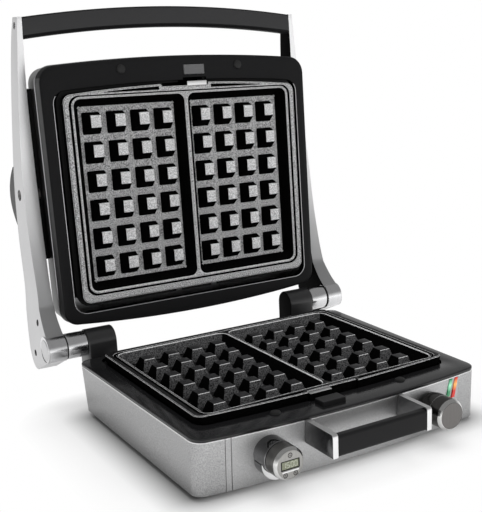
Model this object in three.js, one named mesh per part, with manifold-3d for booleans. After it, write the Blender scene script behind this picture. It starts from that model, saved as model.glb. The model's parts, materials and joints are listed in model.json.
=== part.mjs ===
// Waffle maker: a base with a removable lower plate, a lid with the same plate the other way up,
// two arms that swing the lid on the hinge, a thermostat knob and a timer that pulls off its dock.
// Millimetres, x to the right, y to the back, z up. Pieces are drawn about the hinge axis, which
// is the x axis here, with the lid open, and the machine is set down on its feet at the end.
import * as THREE from 'three';
import { mergeVertices } from 'three/addons/utils/BufferGeometryUtils.js';
import Module from 'manifold-3d';

const wasm = await Module();
wasm.setup();

// ---- Driving dimensions ----

const gap = 0.3; // between pieces that rest on or fit into each other
const reach = 10; // how far a cutting solid runs past what it cuts
const lap = 1; // how far solids run into the ones that they are joined with
const ease = 1; // chamfer of feet, knobs and rings
const wall = 2; // casings
const sheet = 1.2; // pressed metal
const openAngle = THREE.MathUtils.degToRad(92.3);
const partingZ = -1.2; // where the two plates meet when the lid is shut

const grid = { columns: 4, rows: 6, pitchX: 24.5, pitchY: 27.6 };
const peg = { topX: 9.3, topY: 11.2, flareX: 4.3, flareY: 4.8, height: 10.6, belowRim: 1 };
const cavity = { rearRim: -48.1, ridgeHalf: 1.5, draft: 6.4, ridgeMargin: 3.9, margin: 5.8 };
const casting = {
  borderSide: 7.8, borderRear: 9.6, borderFront: 9.7, frontBow: 5.5, radius: 8,
  floor: 3.4, lip: 3.2, lipDrop: 0.8, notchHalf: 25, notchDepth: 5,
};
const face = { drop: 6.3, thickness: 2.4, bevel: 1.5, bevelWidth: 5 }; // bezel and lid frame
const opening = { side: 3.8, rear: 7.5, front: 3, frontBow: 4.5, radius: 12 }; // round the plate

const base = {
  border: 18, rearBorder: 4, frontBorder: 28, frontBow: 7, frontRadius: 26, rearRadius: 10,
  height: 45.5, draft: 2.4, seam: 116.5,
};
const foot = { radius: 9, height: 3.7, insetX: 27, insetRear: 14, insetFront: 30 };

const lid = {
  half: 142.5, rearBorder: 20.5, frontBorder: 24, frontBow: 5, rearBow: 6,
  frontRadius: 17, rearRadius: 14, bandDepth: 14.2, trimHeight: 1.5, trimProud: 0.5,
  shellDepth: 21.3, shellDraft: 1.2, domeRise: 16.7, domeSpread: 30,
};

const tray = {
  clearance: 1, depth: 23, flange: 3, seatRadius: 5, seatInset: 42, saddleShares: [0.3, 0.7],
};
const element = { radius: 3.2, drop: 20, insetX: 24, insetY: 24, bend: 18, tailX: 20, tailReach: 6 };

const release = {
  centreX: -10, width: 26, travel: 3, buttonRear: -249, buttonFoot: 12.2, ramp: 7,
  baseDepth: 13, baseProud: 5, lidDepth: 9.5, lidProud: 1,
  clipWidth: 24, clipTop: -1.1, clipThickness: 1.8, clipReach: 5.5, clipLeg: 1.4, clipSlack: 1.5,
  clipStand: 1,
};
const bumper = { x: 63, radius: 4.3, height: 2, baseInset: 22, lidInset: 11, crown: 0.6 };

const hinge = {
  pinRadius: 4, postRadius: 13.3, postWidth: 28.5, postFoot: 34, postLug: 16,
  collarRadius: 12.5, collarLength: 19.5, capRadius: 11, capDepth: 2,
};
// The arm's edges go through knots [height, distance]. Those marked Top count down from its top.
// The barrel's ends are measured from the lid's side, and both faces from the barrel's ends.
const arm = {
  beyondLid: 38, barrelInner: 7, barrelOuter: 25.5, barrelArc: [0.73 * Math.PI, 1.45 * Math.PI],
  heel: [[26, -26], [41, -29], [47, -8]],
  front: [[36, 17.5], [92, 30.5], [130, 36], [167, 40], [204, 42.2]], frontTop: [[66, 44], [0, 44.2]],
  back: [[28, 58], [86, 65.5], [106, 67]], backTop: [[85, 66.5], [48, 66], [16, 63], [0, 58]],
  inner: [[13, 0], [54, -0.1], [92, -1.3], [167, -2.5]], innerTop: [[84, -3], [30, -4.5], [0, -5.7]],
  outer: [[-10, 0], [9, -1.3], [36, -4.1], [54, -5.4], [92, -6], [148, -7.2], [204, -10.9]],
  outerTop: [[48, -15.5], [0, -19.8]],
};
const liner = { depth: 1.5, inset: 5, low: 66, belowTop: 14 };
const pivot = { y: 52, belowTop: 164, radius: 3.5, washerRadius: 7, headRadius: 5, headDepth: 4 };
const ear = { radius: 9, height: 16, depth: 5.5 };
const bar = { front: 44.4, rear: 62, height: 20, arch: 9, belowArmTop: 20 };
const pad = { inset: 0.5, width: 10, low: 105, high: 168, bulge: 21, edge: 0.4 };

const grip = {
  half: 43.2, plate: 5, reach: 38, top: -10.2, bottom: -30, thickness: 9, radius: 6, drop: 2, round: 2.5,
};
const knob = { x: 80, z: -29.4, radius: 13.75, length: 28, chamfer: 2, stand: 3, shaft: 3 };
const thermostat = { radius: 13, length: 17, neck: 5, blind: 3 };
const timer = { radius: 13.5, wall: 1.8, front: 2.5, windowX: 13, windowZ: 7, rim: 1 };
const dock = { x: -79, z: -38, radius: 16, thickness: 3.4, spigot: 6 };
const timerButton = { radius: 1.8, flange: 0.6, proud: 0.6, depth: 3.5, up: 7.8, apart: 4.5 };
const lens = {
  slant: 0.22, width: 3.5, top: -12, bottom: -30, depth: 6, proud: 0.6, greenInset: 11.7, redInset: 4.9,
};
const cordInlet = { besidePost: 8, belowPost: 6, flange: 9, neck: 6.5, bore: 3.8, depth: 8 };

// ---- Sizes that follow from them ----

const pegBase = { x: peg.topX + 2 * peg.flareX, y: peg.topY + 2 * peg.flareY };
const fieldDepth = peg.height + peg.belowRim;
const plateDepth = fieldDepth + casting.floor;
const firstPegX = cavity.ridgeHalf + cavity.draft + cavity.ridgeMargin + pegBase.x / 2;
const firstPegY = cavity.rearRim - cavity.draft - cavity.margin - pegBase.y / 2;
const lastPegX = firstPegX + (grid.columns - 1) * grid.pitchX;
const lastPegY = firstPegY - (grid.rows - 1) * grid.pitchY;
const rimSide = lastPegX + pegBase.x / 2 + cavity.margin + cavity.draft;
const rimFront = lastPegY - pegBase.y / 2 - cavity.margin - cavity.draft;

const platePlan = {
  half: rimSide + casting.borderSide,
  rear: cavity.rearRim + casting.borderRear,
  front: rimFront - casting.borderFront,
  frontBow: casting.frontBow,
  frontRadius: casting.radius,
  rearRadius: casting.radius,
};
const openingPlan = {
  half: platePlan.half + opening.side,
  rear: platePlan.rear + opening.rear,
  front: platePlan.front - opening.front,
  frontBow: opening.frontBow,
  frontRadius: opening.radius,
  rearRadius: opening.radius,
};
const basePlan = {
  half: openingPlan.half + base.border,
  rear: openingPlan.rear + base.rearBorder,
  front: openingPlan.front - base.frontBorder,
  frontBow: base.frontBow,
  frontRadius: base.frontRadius,
  rearRadius: base.rearRadius,
};
const lidPlan = {
  half: lid.half,
  rear: openingPlan.rear + lid.rearBorder,
  front: openingPlan.front - lid.frontBorder,
  rearBow: lid.rearBow,
  frontBow: lid.frontBow,
  frontRadius: lid.frontRadius,
  rearRadius: lid.rearRadius,
};

const baseRimZ = partingZ - gap;
const lidRimZ = partingZ + gap;
const faceBottom = -face.drop - face.thickness; // from the rim plane of either half
const trayTop = faceBottom - gap;
const trayFloor = trayTop - tray.depth;
const wallTop = baseRimZ + faceBottom - gap;
const wallBottom = wallTop - base.height;
const notchY = platePlan.front + casting.notchDepth; // front edge of the plate's notch
const armTop = -lidPlan.front + arm.beyondLid;
const pivotZ = armTop - pivot.belowTop;
const barrelInner = lidPlan.half + arm.barrelInner;
const barrelOuter = lidPlan.half + arm.barrelOuter;
const collarOuter = barrelInner - 4 * gap;
const collarInner = collarOuter - hinge.collarLength;
const postOuter = collarInner - gap;
const postInner = postOuter - hinge.postWidth;
const inletX = postInner - cordInlet.besidePost;
const inletZ = -hinge.postFoot - cordInlet.belowPost;

// ---- Outlines ----

const cornerSteps = 4;
const bowSteps = 6;
const roundSteps = 16;
const barrelSteps = 10;
const armSteps = 12;
const barSteps = 24;
const elementSteps = 44;
const weld = 1e-4; // points nearer than this are one

function arc(x, y, radius, from, to, steps = cornerSteps) {
  return Array.from({ length: steps + 1 }, (_, i) => {
    const angle = from + ((to - from) * i) / steps;
    return new THREE.Vector2(x + radius * Math.cos(angle), y + radius * Math.sin(angle));
  });
}

function circle(x, y, radius) {
  return arc(x, y, radius, 0, 2 * Math.PI, roundSteps).slice(1);
}

function outline(...points) {
  return points.map(([x, y]) => new THREE.Vector2(x, y));
}

function rectangle(x0, x1, y0, y1) {
  return outline([x0, y0], [x1, y0], [x1, y1], [x0, y1]);
}

function mirrored(points, side) {
  return points.map((point) => new THREE.Vector2(side * point.x, point.y));
}

// The plan of a casing or a plate: round corners, and front and rear edges that bow outwards.
function plan(size, grow = 0) {
  const half = size.half + grow;
  const straight = size.half - size.frontRadius;
  const frontRadius = Math.max(size.frontRadius + grow, gap);
  const rearRadius = Math.max(size.rearRadius + grow, gap);
  const bowed = (end, bow, x) => end + bow * (x / straight) ** 2;
  const front = (x) => bowed(size.front - grow, size.frontBow, x);
  const rear = (x) => bowed(size.rear + grow, -(size.rearBow ?? 0), x);
  const frontX = half - frontRadius;
  const rearX = half - rearRadius;
  const across = (edge, from, to) =>
    Array.from({ length: bowSteps - 1 }, (_, i) => {
      const x = from + ((to - from) * (i + 1)) / bowSteps;
      return new THREE.Vector2(x, edge(x));
    });
  const frontY = front(frontX) + frontRadius;
  const rearY = rear(rearX) - rearRadius;
  return [
    ...arc(-frontX, frontY, frontRadius, Math.PI, 1.5 * Math.PI),
    ...across(front, -frontX, frontX),
    ...arc(frontX, frontY, frontRadius, 1.5 * Math.PI, 2 * Math.PI),
    ...arc(rearX, rearY, rearRadius, 0, 0.5 * Math.PI),
    ...across(rear, rearX, -rearX),
    ...arc(-rearX, rearY, rearRadius, 0.5 * Math.PI, Math.PI),
  ];
}

// A smooth edge through [height, value] knots, as a function of the height.
function edge(knots) {
  const slope = (i) => {
    const before = knots[Math.max(i - 1, 0)];
    const after = knots[Math.min(i + 1, knots.length - 1)];
    return (after[1] - before[1]) / (after[0] - before[0]);
  };
  return (height) => {
    const z = THREE.MathUtils.clamp(height, knots[0][0], knots.at(-1)[0]);
    const i = Math.min(knots.findLastIndex((knot) => knot[0] <= z), knots.length - 2);
    const [z0, v0] = knots[i];
    const [z1, v1] = knots[i + 1];
    const span = z1 - z0;
    const t = (z - z0) / span;
    const start = (1 + 2 * t) * (1 - t) ** 2 * v0 + t * (1 - t) ** 2 * span * slope(i);
    const end = t * t * (3 - 2 * t) * v1 + t * t * (t - 1) * span * slope(i + 1);
    return start + end;
  };
}

function heights(low, high, steps) {
  return Array.from({ length: steps + 1 }, (_, i) => low + ((high - low) * i) / steps);
}

// ---- Solids ----

function solidOf(geometry) {
  geometry.deleteAttribute('normal');
  geometry.deleteAttribute('uv');
  const merged = mergeVertices(geometry, weld);
  return new wasm.Manifold(new wasm.Mesh({
    numProp: 3,
    vertProperties: new Float32Array(merged.attributes.position.array),
    triVerts: new Uint32Array(merged.index.array),
  }));
}

function geometryOf(solid) {
  const mesh = solid.getMesh();
  const geometry = new THREE.BufferGeometry();
  geometry.setAttribute('position', new THREE.BufferAttribute(mesh.vertProperties, 3));
  geometry.setIndex(new THREE.BufferAttribute(mesh.triVerts, 1));
  geometry.computeVertexNormals();
  return geometry;
}

const axes = [new THREE.Vector3(1, 0, 0), new THREE.Vector3(0, 1, 0), new THREE.Vector3(0, 0, 1)];
const standing = {
  x: new THREE.Matrix4().makeBasis(axes[1], axes[2], axes[0]), // outlines are (y, z)
  y: new THREE.Matrix4().makeBasis(axes[0], axes[2], axes[1].clone().negate()), // (x, z)
  z: new THREE.Matrix4(), // (x, y)
};

// A solid through levels [position along the axis, outline], each outline with as many points.
function loft(axis, ...levels) {
  const sign = axis === 'y' ? -1 : 1;
  const ordered = levels.map(([at, points]) => ({ at: sign * at, points }));
  ordered.sort((a, b) => a.at - b.at);
  const clockwise = THREE.ShapeUtils.isClockWise(ordered[0].points);
  const rings = ordered.map((level) => (clockwise ? [...level.points].reverse() : level.points));
  const count = rings[0].length;
  const positions = rings.flatMap((ring, i) => ring.flatMap((p) => [p.x, p.y, ordered[i].at]));
  const faces = THREE.ShapeUtils.triangulateShape(rings[0], []);
  const last = count * (rings.length - 1);
  const lastFaces = THREE.ShapeUtils.triangulateShape(rings.at(-1), []);
  const index = faces.flatMap(([a, b, c]) => [a, c, b]);
  index.push(...lastFaces.flatMap(([a, b, c]) => [last + a, last + b, last + c]));
  for (let i = 0; i < last; i += count) {
    for (let j = 0; j < count; j += 1) {
      const a = i + j;
      const b = i + ((j + 1) % count);
      index.push(a, b, b + count, a, b + count, a + count);
    }
  }
  const geometry = new THREE.BufferGeometry();
  geometry.setAttribute('position', new THREE.Float32BufferAttribute(positions, 3));
  geometry.setIndex(index);
  return solidOf(geometry.applyMatrix4(standing[axis]));
}

function extrude(axis, points, from, to) {
  return loft(axis, [from, points], [to, points]);
}

function box(x0, x1, y0, y1, z0, z1) {
  return extrude('z', rectangle(x0, x1, y0, y1), z0, z1);
}

function join(...solids) {
  return solids.reduce((sum, solid) => sum.add(solid));
}

function cut(solid, ...tools) {
  return tools.reduce((rest, tool) => rest.subtract(tool), solid);
}

// ---- Finishes ----

function finish(color, roughness, metalness) {
  return new THREE.MeshStandardMaterial({ color, roughness, metalness });
}

const brushedSteel = finish(0xa8a8aa, 0.35, 1);
const satinAluminium = finish(0xcfcfd1, 0.38, 1);
const chrome = finish(0xe2e2e4, 0.08, 1);
const darkSteel = finish(0x55524e, 0.3, 1);
const rawAluminium = finish(0xb6b7b8, 0.5, 1);
const heaterSteel = finish(0x4a4744, 0.5, 1);
const nonStick = finish(0x2c2c2e, 0.5, 0.2);
const glossBlack = finish(0x0d0d0e, 0.15, 0);
const satinBlack = finish(0x1c1c1d, 0.45, 0);
const bandGrey = finish(0x565658, 0.5, 0);
const rubber = finish(0x181818, 0.85, 0);
const greenLens = finish(0x2fa04a, 0.2, 0);
const redLens = finish(0xc8321e, 0.2, 0);
const display = finish(0x8d9a78, 0.3, 0);

function piece(name, solid, material, parent) {
  const mesh = new THREE.Mesh(geometryOf(solid), material);
  mesh.name = name;
  parent.add(mesh);
}

const sides = [['left', -1], ['right', 1]];

// ---- Either half, from its rim plane at z = 0 with the plate facing up ----

function wafflePlate() {
  const rim = -casting.lipDrop;
  const notch = (grow) =>
    box(-casting.notchHalf - grow, casting.notchHalf + grow, platePlan.front - reach,
      notchY + grow, -plateDepth - reach, reach);
  const body = join(
    extrude('z', plan(platePlan), -plateDepth, rim),
    cut(extrude('z', plan(platePlan, -casting.lip), -plateDepth, 0), notch(0)),
  );
  const cavities = sides.map(([, side]) => {
    const hollow = (grow) => mirrored(
      rectangle(cavity.ridgeHalf - grow, rimSide + grow, rimFront - grow, cavity.rearRim + grow),
      side,
    );
    const mouth = cavity.draft / fieldDepth; // the draft carried on above the rim
    return loft('z', [-fieldDepth, hollow(-cavity.draft)], [lap, hollow(lap * mouth)]);
  });
  const pegs = [];
  for (const [, side] of sides) {
    for (let column = 0; column < grid.columns; column += 1) {
      for (let row = 0; row < grid.rows; row += 1) {
        const x = side * (firstPegX + column * grid.pitchX);
        const y = firstPegY - row * grid.pitchY;
        const square = (sizeX, sizeY) =>
          rectangle(x - sizeX / 2, x + sizeX / 2, y - sizeY / 2, y + sizeY / 2);
        const root = 2 * (1 + lap / peg.height); // the flare carried on into the floor
        pegs.push(loft('z',
          [-fieldDepth - lap, square(peg.topX + peg.flareX * root, peg.topY + peg.flareY * root)],
          [-peg.belowRim, square(peg.topX, peg.topY)],
        ));
      }
    }
  }
  return join(cut(body, notch(0), ...cavities), ...pegs);
}

function heatTray() {
  const inner = plan(platePlan, tray.clearance);
  const outer = plan(platePlan, tray.clearance + sheet);
  const flange = plan(platePlan, tray.clearance + sheet + tray.flange);
  const pan = join(
    extrude('z', outer, trayFloor - sheet, trayTop),
    extrude('z', flange, trayTop - sheet, trayTop),
  );
  const seatX = platePlan.half - tray.seatInset;
  const seats = [platePlan.rear - tray.seatInset, platePlan.front + tray.seatInset].flatMap((y) =>
    [-seatX, seatX].map((x) =>
      extrude('z', circle(x, y, tray.seatRadius), trayFloor - sheet / 2, -plateDepth - gap)));
  const run = elementRun();
  const saddleTop = -element.drop - element.radius - gap;
  const saddles = tray.saddleShares.flatMap((share) => [-1, 1].map((side) => {
    const x = side * run.x;
    const y = run.rear + (run.front - run.rear) * share;
    return box(x - tray.seatRadius, x + tray.seatRadius, y - tray.seatRadius, y + tray.seatRadius,
      trayFloor - sheet / 2, saddleTop);
  }));
  const clipHalf = release.clipWidth / 2 + release.clipSlack;
  const clipSlot = box(release.centreX - clipHalf, release.centreX + clipHalf,
    platePlan.front - opening.front - release.travel - reach, platePlan.front,
    clipFootTop() - release.clipLeg - release.clipSlack, reach);
  const tailHalf = element.radius + gap;
  const tailSlots = [-1, 1].map((side) =>
    box(side * element.tailX - tailHalf, side * element.tailX + tailHalf,
      platePlan.rear - lap, platePlan.rear + reach, -element.drop - tailHalf, reach));
  const hollow = extrude('z', inner, trayFloor, reach);
  return join(cut(pan, hollow, clipSlot, ...tailSlots), ...seats, ...saddles);
}

function elementRun() {
  return {
    x: platePlan.half - element.insetX,
    rear: platePlan.rear - element.insetY,
    front: platePlan.front + element.insetY,
  };
}

function heatingElement() {
  const { x, rear, front } = elementRun();
  const corner = (a, b, c) => new THREE.QuadraticBezierCurve3(a, b, c);
  const at = (px, py) => new THREE.Vector3(px, py, -element.drop);
  const path = new THREE.CurvePath();
  const { bend, tailX } = element;
  const tailEnd = platePlan.rear + element.tailReach;
  const half = (side) => [
    [at(side * tailX, tailEnd), at(side * tailX, rear + bend)],
    [at(side * tailX, rear), at(side * (tailX + bend), rear)],
    [at(side * (x - bend), rear)],
    [at(side * x, rear), at(side * x, rear - bend)],
    [at(side * x, front + bend)],
    [at(side * x, front), at(side * (x - bend), front)],
  ];
  const route = (side) => {
    const [tail, out, over, turn, along, last] = half(side);
    return [
      new THREE.LineCurve3(tail[0], tail[1]),
      corner(tail[1], out[0], out[1]),
      new THREE.LineCurve3(out[1], over[0]),
      corner(over[0], turn[0], turn[1]),
      new THREE.LineCurve3(turn[1], along[0]),
      corner(along[0], last[0], last[1]),
    ];
  };
  const back = (curve) => (curve.isLineCurve3
    ? new THREE.LineCurve3(curve.v2, curve.v1)
    : new THREE.QuadraticBezierCurve3(curve.v2, curve.v1, curve.v0));
  const leftRun = route(-1);
  const rightRun = route(1).reverse().map(back);
  const across = new THREE.LineCurve3(at(-(x - bend), front), at(x - bend, front));
  path.curves.push(...leftRun, across, ...rightRun);
  const section = new THREE.Shape(arc(0, 0, element.radius, 0, 2 * Math.PI, roundSteps / 2).slice(1));
  const geometry = new THREE.ExtrudeGeometry(section, { extrudePath: path, steps: elementSteps });
  return solidOf(geometry);
}

function bezelPlate(outer, depth) {
  const low = -face.drop - face.thickness - depth;
  return cut(
    loft('z',
      [low, plan(outer)],
      [-face.drop - face.bevel, plan(outer)],
      [-face.drop, plan(outer, -face.bevelWidth)],
    ),
    extrude('z', plan(openingPlan), low - reach, reach),
    ...releaseSlots(outer === lidPlan ? release.lidDepth : release.baseDepth),
  );
}

// The hole for the release button and the slot that its clip runs in.
function releaseSlots(depth) {
  const half = release.width / 2 + gap;
  const clipHalf = release.clipWidth / 2 + release.clipSlack;
  const clipFront = openingPlan.front - release.travel + gap;
  return [
    box(release.centreX - half, release.centreX + half, release.buttonRear - depth - gap,
      release.buttonRear + gap, -reach * 2, reach),
    box(release.centreX - clipHalf, release.centreX + clipHalf, clipFront, openingPlan.front + reach,
      -reach * 2, reach),
  ];
}

function releaseFront(depth) {
  return release.buttonRear - depth;
}

function buttonFoot() {
  return -face.drop - release.buttonFoot;
}

function clipFootTop() {
  return buttonFoot() - release.travel - gap;
}

// Its sloping foot drives the clip forward as far as the button goes down.
function releaseButton(depth, proud) {
  const front = releaseFront(depth);
  const top = -face.drop + proud;
  const bevel = Math.min(proud, release.clipSlack) / 2;
  const profile = outline(
    [release.buttonRear, buttonFoot()],
    [release.buttonRear, top - bevel],
    [release.buttonRear - bevel, top],
    [front + bevel, top],
    [front, top - bevel],
    [front, buttonFoot() + release.ramp],
    [front + release.ramp, buttonFoot()],
  );
  const half = release.width / 2;
  return extrude('x', profile, release.centreX - half, release.centreX + half);
}

function plateClip(depth) {
  const front = releaseFront(depth);
  const slope = front + release.ramp + buttonFoot() - gap * Math.SQRT2; // y + z on the ramp
  const footTop = clipFootTop();
  const footBottom = footTop - release.clipLeg;
  const clipFront = openingPlan.front + release.clipStand;
  const toe = front - release.clipSlack;
  const barBottom = release.clipTop - release.clipThickness;
  const crest = front + gap;
  const profile = outline(
    [clipFront, release.clipTop],
    [clipFront, footTop],
    [slope - footTop, footTop],
    [crest, slope - crest],
    [toe, slope - crest],
    [toe, footBottom],
    [clipFront + release.clipLeg, footBottom],
    [clipFront + release.clipLeg, barBottom],
    [clipFront + release.clipReach, barBottom],
    [clipFront + release.clipReach, release.clipTop],
  );
  const half = release.clipWidth / 2;
  return extrude('x', profile, release.centreX - half, release.centreX + half);
}

function bumperAt(side, y) {
  const low = -face.drop + gap;
  return loft('z',
    [low, circle(side * bumper.x, y, bumper.radius)],
    [low + bumper.height * bumper.crown, circle(side * bumper.x, y, bumper.radius)],
    [low + bumper.height, circle(side * bumper.x, y, bumper.radius * bumper.crown)],
  );
}

function addHalf(prefix, depth, proud, bumperY, parent) {
  piece(`${prefix}_plate`, wafflePlate(), nonStick, parent);
  piece(`${prefix}_heat_tray`, heatTray(), rawAluminium, parent);
  piece(`${prefix}_heating_element`, heatingElement(), heaterSteel, parent);
  piece(`${prefix}_release_button`, releaseButton(depth, proud), satinBlack, parent);
  piece(`${prefix}_plate_clip`, plateClip(depth), chrome, parent);
  for (const [name, side] of sides) {
    piece(`${prefix}_bumper_${name}`, bumperAt(side, bumperY), rubber, parent);
  }
}

// ---- Base ----

// Where the outside of the front panel is.
function panelFace(x, z) {
  const lean = (base.draft * (wallTop - z)) / base.height;
  const straight = basePlan.half - basePlan.frontRadius;
  return basePlan.front + lean + basePlan.frontBow * (x / straight) ** 2;
}

function baseWall() {
  const lean = base.draft / base.height;
  const level = (z, grow) => [z, plan(basePlan, grow - lean * (wallTop - z))];
  return cut(
    loft('z', level(wallBottom, 0), level(wallTop, 0)),
    loft('z', level(wallBottom - reach, -wall), level(wallTop + reach, -wall)),
  );
}

function frontWindow(half) {
  return box(-half, half, basePlan.front - reach, openingPlan.front / 2,
    wallBottom - reach, wallTop + reach);
}

// The leaning outline of a lens and of its slot.
function lensOutline(x, grow) {
  const shift = (lens.slant * (lens.top - lens.bottom)) / 2;
  const half = lens.width / 2 + grow;
  return outline(
    [x - shift - half, lens.bottom - grow],
    [x - shift + half, lens.bottom - grow],
    [x + shift + half, lens.top + grow],
    [x + shift - half, lens.top + grow],
  );
}

function throughPanel(points) {
  return extrude('y', points, basePlan.front - reach, openingPlan.front - reach);
}

const lensPlaces = [
  ['ready_lens_green', base.seam - lens.greenInset, greenLens],
  ['power_lens_red', base.seam - lens.redInset, redLens],
];

function addCasing(parent) {
  const shell = baseWall();
  const inletHole = extrude('y', circle(inletX, inletZ, cordInlet.neck + gap),
    basePlan.rear - reach, basePlan.rear + reach);
  piece('base_housing', cut(shell, frontWindow(base.seam + gap / 2), inletHole), brushedSteel, parent);
  const inSeams = cut(shell, cut(shell, frontWindow(base.seam - gap / 2)));
  const necks = [-knob.x, knob.x].map((x) =>
    throughPanel(circle(x, knob.z, thermostat.neck + gap)));
  const slots = lensPlaces.map(([, x]) => throughPanel(lensOutline(x, gap)));
  piece('front_panel', cut(inSeams, ...necks, ...slots), brushedSteel, parent);

  const shrink = -base.draft - wall - gap;
  const cover = extrude('z', plan(basePlan, shrink), wallBottom, wallBottom + wall);
  piece('bottom_cover', cover, satinBlack, parent);
  const footX = basePlan.half - foot.insetX;
  const ends = [['rear', basePlan.rear - foot.insetRear], ['front', basePlan.front + foot.insetFront]];
  for (const [end, y] of ends) {
    for (const [name, side] of sides) {
      const top = wallBottom - gap;
      const pads = loft('z',
        [top - foot.height, circle(side * footX, y, foot.radius - ease)],
        [top - foot.height + ease, circle(side * footX, y, foot.radius)],
        [top, circle(side * footX, y, foot.radius)],
      );
      piece(`foot_${end}_${name}`, pads, rubber, parent);
    }
  }
  for (const [name, x, material] of lensPlaces) {
    const front = panelFace(x, lens.top) - lens.proud;
    piece(name, extrude('y', lensOutline(x, 0), front, front + lens.depth), material, parent);
  }
  const rear = basePlan.rear;
  const inlet = cut(
    join(
      extrude('y', circle(inletX, inletZ, cordInlet.flange), rear + gap, rear + gap + wall),
      extrude('y', circle(inletX, inletZ, cordInlet.neck), rear - cordInlet.depth, rear + wall),
    ),
    extrude('y', circle(inletX, inletZ, cordInlet.bore), rear - reach, rear + reach),
  );
  piece('cord_inlet', inlet, satinBlack, parent);
}

function pinBore(x0, x1) {
  return extrude('x', circle(0, 0, hinge.pinRadius + gap), x0, x1);
}

function addHinges(parent) {
  const lugFront = basePlan.rear + gap;
  const profile = [
    ...arc(0, 0, hinge.postRadius, 0, Math.PI, barrelSteps),
    ...outline(
      [-hinge.postRadius, -hinge.postLug],
      [lugFront, -hinge.postLug],
      [lugFront, -hinge.postFoot],
      [hinge.postRadius, -hinge.postFoot],
    ),
  ];
  for (const [name, side] of sides) {
    const pinInner = postInner + wall;
    const pinOuter = barrelOuter - hinge.capDepth - 2 * gap;
    const post = cut(
      extrude('x', profile, side * postInner, side * postOuter),
      pinBore(side * (pinInner - gap), side * (postOuter + reach)),
    );
    piece(`hinge_post_${name}`, post, satinBlack, parent);
    const collar = cut(
      extrude('x', circle(0, 0, hinge.collarRadius), side * collarInner, side * collarOuter),
      pinBore(side * (collarInner - reach), side * (collarOuter + reach)),
    );
    piece(`hinge_collar_${name}`, collar, chrome, parent);
    const pin = extrude('x', circle(0, 0, hinge.pinRadius), side * pinInner, side * pinOuter);
    piece(`hinge_pin_${name}`, pin, heaterSteel, parent);
  }
}

function addFrontHandle(parent) {
  const front = basePlan.front - grip.reach;
  for (const [name, side] of sides) {
    const inner = grip.half + gap;
    const outer = inner + grip.plate;
    const backY = (z) => panelFace(inner, z) - gap;
    const profile = [
      ...outline([backY(grip.bottom), grip.bottom], [backY(grip.top), grip.top]),
      ...arc(front + grip.radius, grip.top - grip.radius, grip.radius, Math.PI / 2, Math.PI),
      ...outline([front, grip.bottom]),
    ];
    const bracket = extrude('x', profile, side * inner, side * outer);
    piece(`handle_bracket_${name}`, bracket, chrome, parent);
  }
  const top = grip.top - grip.drop;
  const { round } = grip;
  const y0 = front + gap;
  const y1 = front + grip.thickness;
  const section = [
    ...arc(y0 + round, grip.bottom + round, round, Math.PI, 1.5 * Math.PI),
    ...arc(y1 - round, grip.bottom + round, round, 1.5 * Math.PI, 2 * Math.PI),
    ...arc(y1 - round, top - round, round, 0, 0.5 * Math.PI),
    ...arc(y0 + round, top - round, round, 0.5 * Math.PI, Math.PI),
  ];
  piece('front_grip', extrude('x', section, -grip.half, grip.half), satinBlack, parent);
}

function turned(x, z, ...levels) {
  return loft('y', ...levels.map(([y, radius]) => [y, circle(x, z, radius)]));
}

function addThermostat(parent) {
  const back = panelFace(knob.x, knob.z) - knob.stand;
  const front = back - knob.length;
  const bodyFront = panelFace(knob.x, wallBottom) + wall + gap;
  const bodyRear = bodyFront + thermostat.length;
  const shaftEnd = bodyRear - thermostat.blind - gap;
  const control = cut(
    join(
      turned(knob.x, knob.z, [bodyRear, thermostat.radius], [bodyFront, thermostat.radius]),
      turned(knob.x, knob.z, [bodyRear - lap, thermostat.neck], [back + lap, thermostat.neck]),
    ),
    turned(knob.x, knob.z, [bodyRear - thermostat.blind, knob.shaft + gap],
      [back - reach, knob.shaft + gap]),
  );
  piece('thermostat', control, satinBlack, parent);
  const dial = join(
    turned(knob.x, knob.z, [back, knob.radius - ease], [back - ease, knob.radius],
      [front + knob.chamfer, knob.radius], [front, knob.radius - knob.chamfer / 2]),
    turned(knob.x, knob.z, [shaftEnd, knob.shaft], [back - lap, knob.shaft]),
  );
  piece('thermostat_knob', dial, darkSteel, parent);
}

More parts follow.
